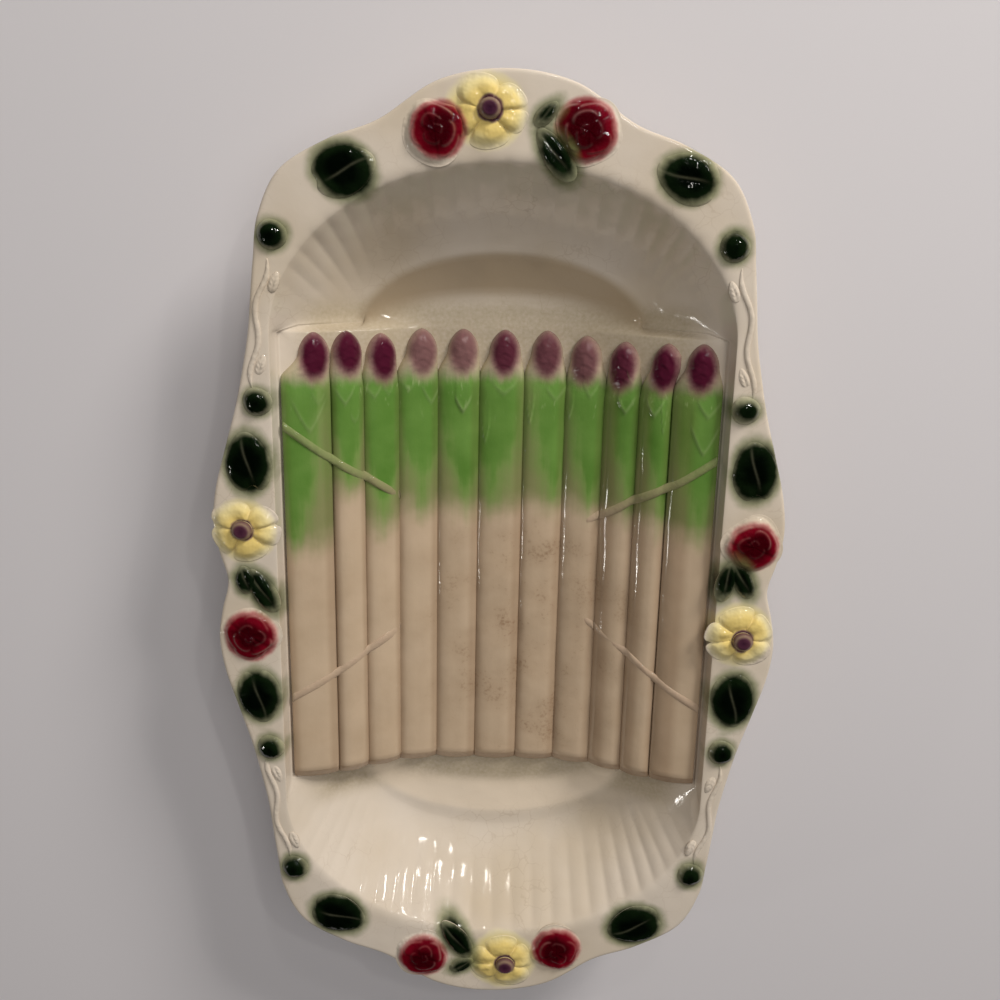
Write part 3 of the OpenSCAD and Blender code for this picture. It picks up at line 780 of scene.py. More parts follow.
@dataclass(frozen=True)
class Bundle:
    """Spears laid side by side on the deck.

    Attributes:
        dish: Sizes of the dish.
        groove_shares: Places of the grooves between the spears, as shares of the bundle's half width.
        height: Height of a spear over the deck.
        bud_w, bud_reach, bud_len: Width of a bud, its place and its end, back from the tip.
        oval_half_w, oval_half_l: Half the size of the purple on a bud.
        seat: How deep a spear is sunk into the deck.
        valley: Height of a spear's sides, as a share of its height.
        cut: How far its cut end slopes.
        scale_pitch, scale_h: Length and height of the fine scales of a bud.
        uneven_h, uneven_pitch: Height and length of the swells of its back.
        right_bank_x: Place beyond which spears lie on the right bank of the sagging deck and take their
            painted shade on the left.
        top_columns: Points across its back.
    """

    dish: Dish
    groove_shares: tuple[float, ...] = (1, 0.786, 0.649, 0.492, 0.304, 0.105)
    height: float = 5.0
    bud_w: float = 12.4
    bud_reach: float = 9.0
    bud_len: float = 17.0
    oval_half_w: float = 5.6
    oval_half_l: float = 9.4
    seat: float = 0.5
    valley: float = 0.55
    cut: float = 3.6
    scale_pitch: float = 4.6
    scale_h: float = 0.16
    uneven_h: float = 0.16
    uneven_pitch: float = 26.0
    right_bank_x: float = 40.0
    top_columns: int = 37

    @property
    def count(self) -> int:
        """Number of spears."""
        return 2 * len(self.groove_shares) - 1

    def groove_x(self, index: int) -> float:
        """Place across of a groove, counted from the right edge.

        Args:
            index: Its number.

        Returns:
            Its place.
        """
        n = len(self.groove_shares)
        share = self.groove_shares[index] if index < n else -self.groove_shares[self.count - index]
        return self.dish.bundle_half_w * share

    def frame(self, index: int) -> tuple[Array, Array, Array, float]:
        """Middle of a spear's strip of deck, the ways across and up, and its width.

        Args:
            index: Number of the spear from the left.

        Returns:
            The middle, both ways and the width.
        """
        edges = [self.groove_x(self.count - index - k) for k in (0, 1)]
        left, right = (np.array([x, float(self.dish.deck_z(x))]) for x in edges)
        width = float(np.linalg.norm(right - left))
        across = (right - left) / width
        return (left + right) / 2.0, across, np.array([-across[1], across[0]]), width

    def tip(self, index: int) -> float:
        """Place along the plate at which a spear ends."""
        return min(self.dish.tip_end, SPEAR_PLANS[index].oval[1] + self.bud_reach)

    def bud_x(self, index: int) -> float:
        """Place of a bud across its spear's strip."""
        mid, across, _, _ = self.frame(index)
        return (SPEAR_PLANS[index].oval[0] - mid[0]) / across[0]

    def edges(self, index: int, back: Array) -> tuple[Array, Array]:
        """Left and right edge of a spear across its strip.

        Args:
            index: Its number from the left.
            back: Distances back from its tip.

        Returns:
            Both edges, from the middle of the strip.
        """
        half = self.frame(index)[3] / 2.0
        nose = (1.0 - (1.0 - np.clip(back / self.bud_reach, 0.0, 1.0)) ** 1.9) ** 0.62
        bud, middle = self.bud_w / 2.0 * nose, self.bud_x(index)
        left, right = np.maximum(middle - bud, -half - 2.0), np.minimum(middle + bud, half + 2.0)
        wide = ramp(back, 0.9 * self.bud_reach, 2.0 * self.bud_reach)
        return mix(left, -half, wide), mix(right, half, wide)

    def crown(self, t: Array, back: Array | float) -> Array:
        """Height of a spear's back over its strip, without its scales.

        Args:
            t: Places across, from -1 to 1.
            back: Distances back from its tip.

        Returns:
            The heights.
        """
        stalk = ramp(back, 0.8 * self.bud_len, 0.8 * self.bud_len + 9.0)
        arch = np.clip(1.0 - np.abs(t) ** mix(2.2, 2.8, stalk), 0.0, 1.0) ** mix(0.55, 0.85, stalk)
        nose = (1.0 - (1.0 - np.clip(back / (0.7 * self.bud_reach), 0.0, 1.0)) ** 2) ** 0.5
        swell = 0.06 * bell(back - self.bud_reach, 0.6 * self.bud_reach)
        neck = 0.12 * bell(back - self.bud_len - 1.0, 3.5)
        return self.height * nose * (1.0 + swell - neck) * mix(self.valley * stalk, 1.0, arch)

    def relief(self, index: int, t: Array, y: Array) -> tuple[Array, Array]:
        """Scales on a spear's back.

        Args:
            index: Its number from the left.
            t: Places across, from -1 to 1.
            y: Places along the plate.

        Returns:
            Height to add and how much of a raised edge a place is.
        """
        rise, edge = np.zeros_like(t), np.zeros_like(t)
        for bract in SPEAR_PLANS[index].bracts:
            side = np.abs(t - bract.off) / bract.reach
            above = y - bract.tip - bract.depth * side ** 1.2
            inside = ramp(side, 1.1, 0.7)
            ridge = bell(above, 1.0) * inside
            lift = ramp(above, -0.6, 0.4) * ramp(above, 14.0, 0.0) * inside
            rise += bract.height * (0.45 * ridge + 0.5 * lift)
            edge += bract.height * 1.1 * ridge
        back = self.tip(index) - y
        scale = (back / self.scale_pitch + 0.5 * np.cos(math.pi * t) + 0.3 * index) % 1.0
        bud = ramp(back, self.bud_len, self.bud_len - 3.0) * ramp(back, 0.0, 2.5)
        rise += bud * self.scale_h * (ramp(scale, 0.0, 0.8) - ramp(scale, 0.8, 1.0) - 0.4)
        rise += bud * 0.06 * ripple(7.0 * t + 31.0 * index, y, 3.0, 3)
        return rise, np.clip(edge, 0.0, 1.0)

    def spear(self, index: int) -> bpy.types.Object:
        """Forms one spear, from its cut end to the point of its bud.

        Args:
            index: Its number from the left.

        Returns:
            The finished piece.
        """
        mid, across, up, width = self.frame(index)
        end, tip = -self.dish.butt_end, self.tip(index)
        along = np.concatenate([end + np.array([0.0, 0.25, 0.8]),
                                np.linspace(end + 2.0, 22.0, 60),
                                np.linspace(22.7, tip - self.bud_len, 80)[1:],
                                tip - self.bud_len * np.linspace(1.0, 0.0, 56)[1:]])
        shrink = np.concatenate([[0.93, 0.98, 1.0], np.ones(len(along) - 3)])[:, None]
        grid_t, grid_y = np.meshgrid(np.linspace(-1.0, 1.0, self.top_columns), along)
        left, right = self.edges(index, tip - along)
        rise, _ = self.relief(index, grid_t, grid_y)
        sloped = mix(0.5, 1.0, np.clip((grid_y - end) / self.cut, 0.0, 1.0))
        body = self.crown(grid_t, tip - grid_y) * sloped
        uneven = ripple(grid_t * width / 2.0 + 40.0 * index, grid_y, self.uneven_pitch, 5)
        flat = ramp(np.abs(grid_t), 1.0, 0.75) * np.minimum(1.0, body / self.height)
        z = (body + flat * (rise + self.uneven_h * uneven)) * mix(0.4, 1.0, shrink)
        x = mix(left[:, None], right[:, None], (grid_t + 1.0) / 2.0) * shrink
        bottom_x = mix(left[:, None], right[:, None], np.array([[0.85, 0.5, 0.15]]))
        wall_x = stacked(x[:, -1], x[:, -1], *bottom_x.T, x[:, 0], x[:, 0])
        wall_z = stacked(0.0 * z[:, -1], *(-self.seat,) * 5, 0.0 * z[:, 0])
        ring_x = np.concatenate([x, wall_x, x[:, :1]], axis=1)
        ring_z = np.concatenate([z, wall_z, z[:, :1]], axis=1)
        ring_y = np.repeat(along[:, None], ring_x.shape[1], axis=1)
        local = self.capped(stacked(ring_x, ring_y, ring_z))
        points = stacked(mid[0] + local[..., 0] * across[0] + local[..., 2] * up[0], local[..., 1],
                         mid[1] + local[..., 0] * across[1] + local[..., 2] * up[1])
        piece = Bench.formed(f"spear_{index + 1:02d}_relief", points)
        self.note(piece, index)
        Bench.fit(piece, "spear_glaze", f"spear_{index + 1:02d}")
        return piece

    def capped(self, rings: Array) -> Array:
        """Closes a row of rings with a domed cut end and a point.

        Args:
            rings: Rings from the cut end to the tip.

        Returns:
            The rings with those of both ends.
        """
        first, last = rings[0], rings[-1]
        middle = stacked(0.0, first[0, 1], self.height * 0.42)
        dome = [mix(middle, first, share) - (0.0, out, 0.0)
                for share, out in ((0.0, 0.5), (0.35, 0.45), (0.7, 0.3), (0.9, 0.12))]
        point = np.broadcast_to([last[:, 0].mean(), last[0, 1], 0.0], first.shape)
        return np.stack([*dome, *rings, point])

    def note(self, piece: bpy.types.Object, index: int) -> None:
        """Notes what the finish reads: the purple, the green and its side, raised edges and painted shade.

        Args:
            piece: The formed spear.
            index: Its number from the left.
        """
        plan = SPEAR_PLANS[index]
        mid, across, up, width = self.frame(index)
        places = Bench.places(piece)
        x = (places[:, 0] - mid[0]) * across[0] + (places[:, 2] - mid[1]) * across[1]
        z = (places[:, 0] - mid[0]) * up[0] + (places[:, 2] - mid[1]) * up[1]
        y = places[:, 1]
        left, right = self.edges(index, self.tip(index) - y)
        t = 2.0 * (x - left) / np.maximum(right - left, 1e-3) - 1.0
        oval = np.hypot((x - self.bud_x(index)) / self.oval_half_w, (y - plan.oval[1]) / self.oval_half_l)
        Bench.note(piece, "purple", 1.0 - oval)
        Bench.note(piece, "purple_depth", plan.depth)
        Bench.note(piece, "lean", np.clip(1.0 - np.abs(2.0 * x / width - plan.lean) / 1.3, 0.0, 1.0))
        Bench.note(piece, "green_end", plan.low)
        Bench.note(piece, "raised", self.relief(index, t, y)[1] * ramp(z, 0.0, 2.0))
        # Painted shade: on the left half of each spear of the right bank, on the right edge of the others, on
        # both edges and low down between spears.
        dim = ramp(t, 0.25, -0.25) if mid[0] > self.right_bank_x else 0.8 * ramp(t, 0.5, 0.8)
        sides = np.maximum(ramp(np.abs(t), 0.6, 1.0), dim)
        Bench.note(piece, "hollow", np.maximum(sides, ramp(z, 0.6 * self.height, 0.0)))

    def model(self) -> list[bpy.types.Object]:
        """Forms all spears."""
        return [self.spear(i) for i in range(self.count)]


@dataclass(frozen=True)
class TieCord:
    """A cord over the bundle.

    Attributes:
        name: Node for which it stands.
        bundle: The spears on which it lies.
        left, right: Its places along the plate at the edges of the bundle.
        hump: How high it rises over the other cord.
        width, thickness: Its size.
        root: How deep it goes into the spears.
        crossing: Place across at which the cords cross.
    """

    name: str
    bundle: Bundle
    left: float
    right: float
    hump: float
    width: float = 3.8
    thickness: float = 0.8
    root: float = 1.6
    crossing: float = -3.0

    def back(self, index: int, t: float) -> Array:
        """A place on a spear's back, across and up.

        Args:
            index: Number of the spear from the left.
            t: Place across it, from -1 to 1.

        Returns:
            The place.
        """
        mid, across, up, width = self.bundle.frame(index)
        height = float(self.bundle.crown(np.array(t), 60.0))
        return mid + across * t * width / 2.0 + up * max(height, 0.72 * self.bundle.height)

    def route(self) -> Array:
        """The way of the cord over the spears, across and up."""
        shares = (-0.97, -0.85, -0.65, -0.4, -0.13, 0.13, 0.4, 0.65, 0.85, 0.97)
        return np.array([self.back(i, t) for i in range(self.bundle.count) for t in shares])

    def model(self) -> bpy.types.Object:
        """Forms the cord with a rounded back and closed ends, worn low where the two cross.

        Returns:
            The finished piece.
        """
        route = self.route()
        half = self.bundle.dish.bundle_half_w
        x = route[:, 0]
        y = mix(self.left, self.right, (x + half) / (2.0 * half)) + 0.5 * ripple(x, 0.0 * x, 30.0, 8)
        away = np.abs(x - self.crossing)
        worn = mix(0.08, 1.0, ramp(away, 27.0, 45.0)) * mix(0.84, 1.0, ramp(y, -15.0, 10.0))
        rise = self.hump * ramp(away, 9.0, 4.0) - 1.4 * (1.0 - worn)
        angles = np.linspace(0.0, math.pi, 9)
        flat = np.concatenate([np.cos(angles), [-1.0, 1.0], [1.0]]) * self.width / 2.0
        high = np.sin(angles) ** 1.2 * self.thickness
        high = np.concatenate([high, [-self.root, -self.root], high[:1]])
        lift = np.where(high > 0.0, high * worn[:, None], high)
        rings = stacked(x[:, None], y[:, None] + flat, route[:, 1:] + lift + rise[:, None])
        piece = Bench.formed(self.name + "_relief", closed(rings))
        for name, value in (("green_end", 27.0), ("lean", 0.35), ("hollow", 0.0), ("raised", 0.3)):
            Bench.note(piece, name, value)
        Bench.fit(piece, "tie_glaze", self.name)
        return piece


# Sprigs


@dataclass(frozen=True)
class Seat:
    """Where a sprig stands.

    Attributes:
        x, y: Its middle.
        z: Its foot.
        turn: Its turn in degrees.
    """

    x: float
    y: float
    z: float
    turn: float = 0.0

    @staticmethod
    def of(node: str) -> Seat:
        """Reads a sprig's place from the solid that it stands for."""
        low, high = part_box(node)
        return Seat((low.x + high.x) / 2.0 / MM, (low.y + high.y) / 2.0 / MM, low.z / MM)

    def place(self, local: Array) -> Array:
        """Sets local points in the plate."""
        x, y = turned(local[..., 0], local[..., 1], -self.turn)
        return stacked(self.x + x, self.y + y, self.z + local[..., 2])


@dataclass(frozen=True)
class Sprig:
    """A relief on the rim. Each kind gives its form and says where it takes its finish.

    Attributes:
        node: The solid for which it stands.
        turn: Its turn in degrees.
        slot: Its material slot.
        paint: Colour of the spot that it lies in.
        lean: How far it is moved from its solid to the middle of that spot, as a share.
        seat: How deep its foot is sunk into the rim.
    """

    node: str
    turn: float = 0.0
    slot: str = "leaf_glaze"
    paint: Paint = Paint.GREEN
    lean: float = 1.0
    seat: float = 0.5

    def local(self) -> tuple[Array, Array]:
        """Its own points, and how bare of paint they are."""
        raise NotImplementedError

    def disc(self, radius: Array, height: Array) -> Array:
        """A round relief, closed below.

        Args:
            radius: Table of radii, of rings from the middle to the edge and of angles once around.
            height: Heights of the same points.

        Returns:
            Table of rings and points.
        """
        angle = np.linspace(0.0, math.tau, radius.shape[1])
        top = stacked(radius * np.cos(angle), radius * np.sin(angle), height)
        skirt = top[-1:].copy()
        skirt[..., 2] = -self.seat
        low = np.broadcast_to([0.0, 0.0, -self.seat], skirt.shape)
        return np.concatenate([top, skirt, low])

    def model(self) -> bpy.types.Object:
        """Forms the sprig, notes paint and pale edges on it and puts it in its solid's place.

        Returns:
            The finished piece.
        """
        solid = Seat.of(self.node)
        spot = Brush.nearest(self.paint, solid.x, solid.y)[0]
        seat = Seat(mix(solid.x, spot.x, self.lean), mix(solid.y, spot.y, self.lean), solid.z, self.turn)
        local, crest = self.local()
        piece = Bench.crested(self.node + "_relief", seat.place(local), crest)
        Brush.note(piece)
        Bench.fit(piece, self.slot, self.node)
        return piece


@dataclass(frozen=True)
class Petal:
    """A petal's edge on a rose.

    Attributes:
        reach: Its distance from the middle, as a share of the rose.
        bearing: Its middle in degrees.
        span: Half its length in degrees.
        rise: Its height.
        curl: How far its ends turn in.
        pale: How bare its edge is of paint.
    """

    reach: float
    bearing: float
    span: float
    rise: float
    curl: float
    pale: float


ROSE_PETALS = (
    Petal(0.95, 20.0, 50.0, 0.5, 0.1, 1.0), Petal(0.88, 118.0, 44.0, 0.45, 0.14, 0.7),
    Petal(0.94, 205.0, 56.0, 0.45, 0.08, 1.0), Petal(0.84, 300.0, 40.0, 0.45, 0.16, 0.6),
    Petal(0.8, 62.0, 42.0, 0.4, 0.2, 0.8), Petal(0.74, 170.0, 48.0, 0.35, 0.16, 0.4),
    Petal(0.62, 330.0, 52.0, 0.35, 0.22, 0.5), Petal(0.5, 95.0, 56.0, 0.35, 0.2, 0.25),
    Petal(0.4, 230.0, 60.0, 0.3, 0.2, 0.15), Petal(0.24, 20.0, 70.0, 0.3, 0.2, 0.1),
)


@dataclass(frozen=True)
class Rose(Sprig):
    """A full rose of overlapping petals."""

    slot: str = "rose_glaze"
    paint: Paint = Paint.CRIMSON
    lean: float = 0.7
    radius: float = 11.8
    height: float = 3.3
    heart_h: float = 2.2
    rings: int = 56
    steps: int = 144

    def local(self) -> tuple[Array, Array]:
        """A soft dome with the petals' thin edges on it.

        Returns:
            Its own points, and how bare of paint they are.
        """
        share, angle = polar(self.rings, self.steps)
        height = self.heart_h * (1.0 - share ** 2.6) + 0.0 * angle
        crest = np.zeros_like(height)
        for petal in ROSE_PETALS:
            off = (angle - math.radians(petal.bearing) + math.pi) % math.tau - math.pi
            along = off / math.radians(petal.span)
            edge = petal.reach * (1.0 - petal.curl * along ** 2 + 0.02 * np.sin(5.0 * off + petal.bearing))
            there = ramp(np.abs(along), 1.05, 0.7)
            inside = ramp(share, edge, edge - 0.05)
            height = height + petal.rise * there * inside * mix(0.35, 1.0, (share / edge) ** 3)
            crest = np.maximum(crest, petal.pale * there * bell(share - edge + 0.02, 0.04))
        height = height * mix(0.05, 1.0, ramp(share, 1.0, 0.72))
        uneven = 1.0 + 0.04 * np.cos(4.0 * angle - 0.6) + 0.04 * np.cos(3.0 * angle)
        return self.disc(share * self.radius * uneven, height * (self.height / height.max())), crest


@dataclass(frozen=True)
class Flower(Sprig):
    """A yellow flower of broad petals, with a seat for the boss in its middle."""

    slot: str = "yellow_glaze"
    paint: Paint = Paint.YELLOW
    lean: float = 0.7
    petals: int = 5
    radius: float = 13.2
    height: float = 2.5
    seat_share: float = 0.33
    seat_h: float = 0.66
    rings: int = 36
    steps: int = 140

    def local(self) -> tuple[Array, Array]:
        """Puffed, uneven petals with sharp creases between them.

        Returns:
            Its own points, and how bare of paint they are.
        """
        share, angle = polar(self.rings, self.steps)
        drift = 0.5 * np.sin(angle + 0.7) + 0.3 * np.sin(angle * 2.0) + 0.2 * np.sin(angle * 3.0 + 1.0)
        wave = (self.petals * (angle + drift * 0.5) / math.tau) % 1.0
        crease = np.abs(2.0 * wave - 1.0)
        puff = (1.0 - crease ** 7) ** 0.7
        fold = 0.16 * np.sin(wave * 6.0 + angle) * ramp(share, 0.0, 0.5)
        height = (mix(0.55, 1.0, puff) + fold) * np.sin(math.pi * share ** 0.85) ** 0.5
        height = height * mix(0.5, 1.0, ramp(share, 0.15, 0.5))
        height = np.where(share < self.seat_share, np.maximum(height, self.seat_h), height)
        height = height / height.max() * mix(0.06, 1.0, ramp(share, 1.0, 0.68))
        notch = mix(1.0, 1.0 - 0.26 * crease ** 6, ramp(share, 0.0, 0.7))
        uneven = 1.0 + 0.06 * np.cos(2.0 * angle + 1.0) + 0.05 * np.cos(3.0 * angle)
        crest = np.maximum(bell(crease - 1.0, 0.1) * ramp(share, 0.4, 0.6), ramp(share, 0.75, 0.95))
        return self.disc(share * self.radius * notch * uneven, self.height * height), crest


@dataclass(frozen=True)
class Boss(Sprig):
    """The round middle of a flower, a bead with a dimple inside a raised ring."""

    slot: str = "purple_glaze"
    paint: Paint = Paint.VIOLET
    seat: float = 0.8
    radius: float = 3.9
    height: float = 2.3
    rings: int = 22
    steps: int = 48

    def local(self) -> tuple[Array, Array]:
        """The bead.

        Returns:
            Its own points, and how bare of paint they are.
        """
        share, angle = polar(self.rings, self.steps)
        dome = np.sqrt(1.0 - share ** 2.6)
        height = dome - 0.1 * bell(share, 0.34) + 0.05 * bell(share - 0.56, 0.12)
        height = self.height * height / height.max() + 0.0 * angle
        radius = share * self.radius * (1.0 + 0.03 * np.cos(2.0 * angle + 0.4))
        return self.disc(radius, height), bell(share - 0.8, 0.14) + 0.0 * angle


@dataclass(frozen=True)
class Bud(Sprig):
    """A small round bud, low and a little uneven."""

    radius: float = 5.5
    height: float = 3.4
    rings: int = 16
    steps: int = 40

    def local(self) -> tuple[Array, Array]:
        """The bead.

        Returns:
            Its own points, and how bare of paint they are.
        """
        share, angle = polar(self.rings, self.steps)
        height = self.height * (1.0 - share ** 2.1) ** 0.9 + 0.0 * angle
        uneven = 1.0 + 0.03 * np.cos(3.0 * angle) + 0.02 * np.cos(2.0 * angle + 1.0)
        return self.disc(share * self.radius * uneven, height), np.zeros_like(height)


@dataclass(frozen=True)
class Blade:
    """Form of a leaf.

    Attributes:
        length, width, height: Its size.
        notch: How far its foot is drawn in, as a share of its length.
        vein: Depth of the furrow in its middle.
        rings, steps: Points from its middle to its edge and around it.
        seat: How deep its foot is sunk.
    """

    length: float
    width: float
    height: float
    notch: float
    vein: float
    rings: int = 26
    steps: int = 72
    seat: float = 0.5

    def local(self) -> tuple[Array, Array]:
        """Points of the leaf, its tip towards +Y, and its pale edges.

        Returns:
            The points, and how bare of paint they are.
        """
        share, angle = polar(self.rings, self.steps)
        c, s = np.cos(angle), np.sin(angle)
        taper = 1.0 - 0.34 * (s * 0.5 + 0.5) ** 2.2
        x = share * (self.width / 2.0 * taper * np.abs(c) ** 0.92 * np.sign(c))
        y = share * (self.length / 2.0 * s * (1.0 - self.notch * 2.0 * bell(c, 0.22) * (s < 0.0)))
        dome = (1.0 - share ** 2.2) ** 0.9
        across, along = np.abs(x) / self.width, y / self.length
        furrow = self.vein * bell(x, 0.13 * self.width) * ramp(along, 0.55, 0.3)
        veins = 0.12 * np.sin(math.tau * (along * 4.5 - across * 2.2)) * ramp(across, 0.0, 0.2)
        height = dome * (self.height * (0.92 + 0.14 * ramp(across, 0.0, 0.3) - furrow) + veins)
        stem = bell(x - 0.05 * self.width, 0.5) * ramp(along, -0.1, 0.4) * ramp(share, 1.176, 0.196)
        middle = bell(x + 0.06 * self.width * np.sin(5.0 * along), 0.45)
        crest = 0.6 * middle * ramp(along, 0.5, 0.3) * ramp(along, -0.4, -0.1)
        crest = crest + 0.5 * ramp(share, 0.93, 1.0) * ramp(s, 0.4, 0.8)
        points = np.concatenate([stacked(x, y, height + 0.3 * stem), stacked(x[-1:], y[-1:], -self.seat),
                                 stacked(0.0 * x[-1:], 0.0, -self.seat)])
        return points, np.clip(crest, 0.0, 1.0)


@dataclass(frozen=True)
class CornerLeaf(Sprig):
    """A broad leaf on a corner of the rim."""

    blade: Blade = Blade(23.5, 19.0, 2.4, 0.06, 0.25)

    def local(self) -> tuple[Array, Array]:
        """The leaf."""
        return self.blade.local()


@dataclass(frozen=True)
class SideLeaf(CornerLeaf):
    """A broad leaf on a long side of the rim."""

    blade: Blade = Blade(24.0, 18.5, 2.4, 0.12, 0.25)


@dataclass(frozen=True)
class LeafPair:
    """Two slim leaves between flower and rose.

    Attributes:
        node: The solid for which they stand.
        height: Their height.
        length_share, width_share: Their size, as shares of half the length and width of their spots.
    """

    node: str
    height: float = 2.2
    length_share: float = 1.9
    width_share: float = 1.8

    def model(self) -> bpy.types.Object:
        """Forms a leaf on each of the two spots nearest to the pair's solid and joins them.

        Returns:
            The finished piece.
        """
        heart = Seat.of(self.node)
        pieces = []
        for spot in Brush.nearest(Paint.GREEN, heart.x, heart.y)[:2]:
            blade = Blade(self.length_share * spot.half_l, self.width_share * spot.half_w, self.height,
                          notch=0.0, vein=0.45, rings=20, steps=48)
            local, crest = blade.local()
            placed = Seat(spot.x, spot.y, heart.z, spot.turn).place(local)
            pieces.append(Bench.crested(self.node + "_leaf", placed, crest))
        piece = Bench.joined(pieces, self.node + "_relief")
        Brush.note(piece)
        Bench.fit(piece, "leaf_glaze", self.node)
        return piece


@dataclass(frozen=True)
class Vine:
    """A thin stem with small leaves between a side bud and a corner bud.

    Attributes:
        dish: Sizes of the dish.
        node: The solid for which it stands.
        middle, swing: Its place across the rim and how far it swings there, as shares.
        width, height: Size of the stem.
        seat: How deep it is sunk.
        steps: Points along it.
        leaf: Form of a leaf.
        leaf_shares: Places of the leaves along it.
    """

    dish: Dish
    node: str
    middle: float = 0.55
    swing: float = 0.12
    width: float = 2.1
    height: float = 0.75
    seat: float = 0.5
    steps: int = 90
    leaf: Blade = Blade(8.0, 4.2, 0.85, 0.0, 0.3, 12, 32)
    leaf_shares: tuple[float, ...] = (0.2, 0.85)

    def across(self, q: Array, place: Array | float) -> Array:
        """Points of the rim at a share of its width, in the first quarter."""
        return mix(self.dish.mouth(q), self.dish.outline(q), place)

    def model(self) -> bpy.types.Object:
        """Forms the stem, thinning out at both ends, and lays the leaves beside it.

        Returns:
            The finished piece.
        """
        low, high = (np.array(corner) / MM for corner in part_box(self.node))
        side = np.append(np.sign((low + high)[:2]), 1.0)
        stations = np.linspace(0.0, self.dish.crown_q, 600)
        span = sorted((abs(low[1]), abs(high[1])))
        first, last = np.interp(span, self.across(stations, self.middle)[:, 1], stations)
        share = np.linspace(0.0, 1.0, self.steps)
        swung = self.middle + self.swing * np.sin(2.0 * math.tau * share)
        route = self.across(mix(first, last, share), swung[:, None])
        way = np.gradient(route, axis=0)
        way /= np.linalg.norm(way, axis=1)[:, None]
        across = stacked(way[:, 1], -way[:, 0])
        taper = np.minimum(1.0, 0.25 + 6.0 * np.minimum(share, 1.0 - share))[:, None]
        u = np.cos(np.linspace(math.pi, 0.0, 11))
        flat = np.concatenate([u, [1.0, -1.0], u[:1]]) * self.width / 2.0
        tall = np.concatenate([np.sqrt(1.0 - u * u) * self.height, [-self.seat, -self.seat], [0.0]])
        ring = route[:, None] + across[:, None] * (flat * taper)[..., None]
        table = stacked(ring[..., 0], ring[..., 1],
                        self.dish.rim_h + np.where(tall > 0.0, tall * taper, tall))
        pieces = [Bench.formed(self.node + "_stem", closed(table) * side)]
        Bench.note(pieces[0], "crest", 0.0)
        local, crest = self.leaf.local()
        for place in self.leaf_shares:
            i = int(round(place * (self.steps - 1)))
            spot = route[i] - across[i] * (self.width + self.leaf.width) / 2.0
            heading = math.degrees(math.atan2(way[i, 1], way[i, 0]))
            seat = Seat(spot[0], spot[1], self.dish.rim_h, heading - QUARTER_TURN)
            pieces.append(Bench.crested(self.node + "_leaf", seat.place(local) * side, 0.4 * crest))
        piece = Bench.joined(pieces, self.node + "_relief")
        Brush.note(piece)
        Bench.fit(piece, "cream_glaze", self.node)
        return piece


@dataclass(frozen=True)
class Garland:
    """All sprigs on the rim, each with a partner across the middle that is turned by half a turn.

    Attributes:
        rose_turns: Turns of the first rose of each pair.
        kinds: Node and kind of the other sprigs, and the turns of the first one at an end of the
            rim and on a side.
    """

    rose_turns: tuple[float, ...] = (15.0, 140.0, 250.0)
    kinds: tuple[tuple[str, type, tuple[float, ...]], ...] = (
        ("yellow_flower", Flower, (12.0, 20.0)), ("flower_centre", Boss, ()), ("leaf_pair", LeafPair, ()),
        ("corner_leaf", CornerLeaf, (-70.0, 70.0)), ("side_leaf", SideLeaf, (6.0, 188.0)),
        ("corner_bud", Bud, ()), ("side_bud", Bud, ()))

    def model(self) -> list[bpy.types.Object]:
        """Forms all sprigs of the garland.

        Returns:
            The finished pieces.
        """
        made = [Rose(f"rose_{i + 1:02d}", self.rose_turns[i // 2] + HALF_TURN * (i % 2)).model()
                for i in range(2 * len(self.rose_turns))]
        for i in range(4):
            for name, kind, turns in self.kinds:
                turn = [turns[i // 2] + HALF_TURN * (i % 2)] if turns else []
                made.append(kind(f"{name}_{i + 1:02d}", *turn).model())
        return made


# Studio


@dataclass(frozen=True)
class Lamp:
    """A round lamp that faces the middle of the plate.

    Attributes:
        name: Its name.
        place: Where it stands, in metres.
        size: Its width in metres.
        power: Its power in watts.
        colour: Its colour.
        mirrored: Whether the glaze mirrors it.
        target: The place that it faces.
    """

    name: str
    place: tuple[float, float, float]
    size: float
    power: float
    colour: tuple[float, float, float] = (1.0, 0.97, 0.92)
    mirrored: bool = True
    target: tuple[float, float, float] = (0.0, 0.0, 0.02)

    def set_up(self) -> None:
        """Adds the lamp to the scene."""
        data = bpy.data.lights.new(self.name, "AREA")
        data.shape = "DISK"
        data.size = self.size
        data.energy = self.power
        data.color = self.colour
        lamp = bpy.data.objects.new(self.name, data)
        lamp.location = self.place
        way = Vector(self.target) - Vector(self.place)
        lamp.rotation_euler = way.to_track_quat("-Z", "Y").to_euler()
        lamp.visible_glossy = self.mirrored
        bpy.context.scene.collection.objects.link(lamp)


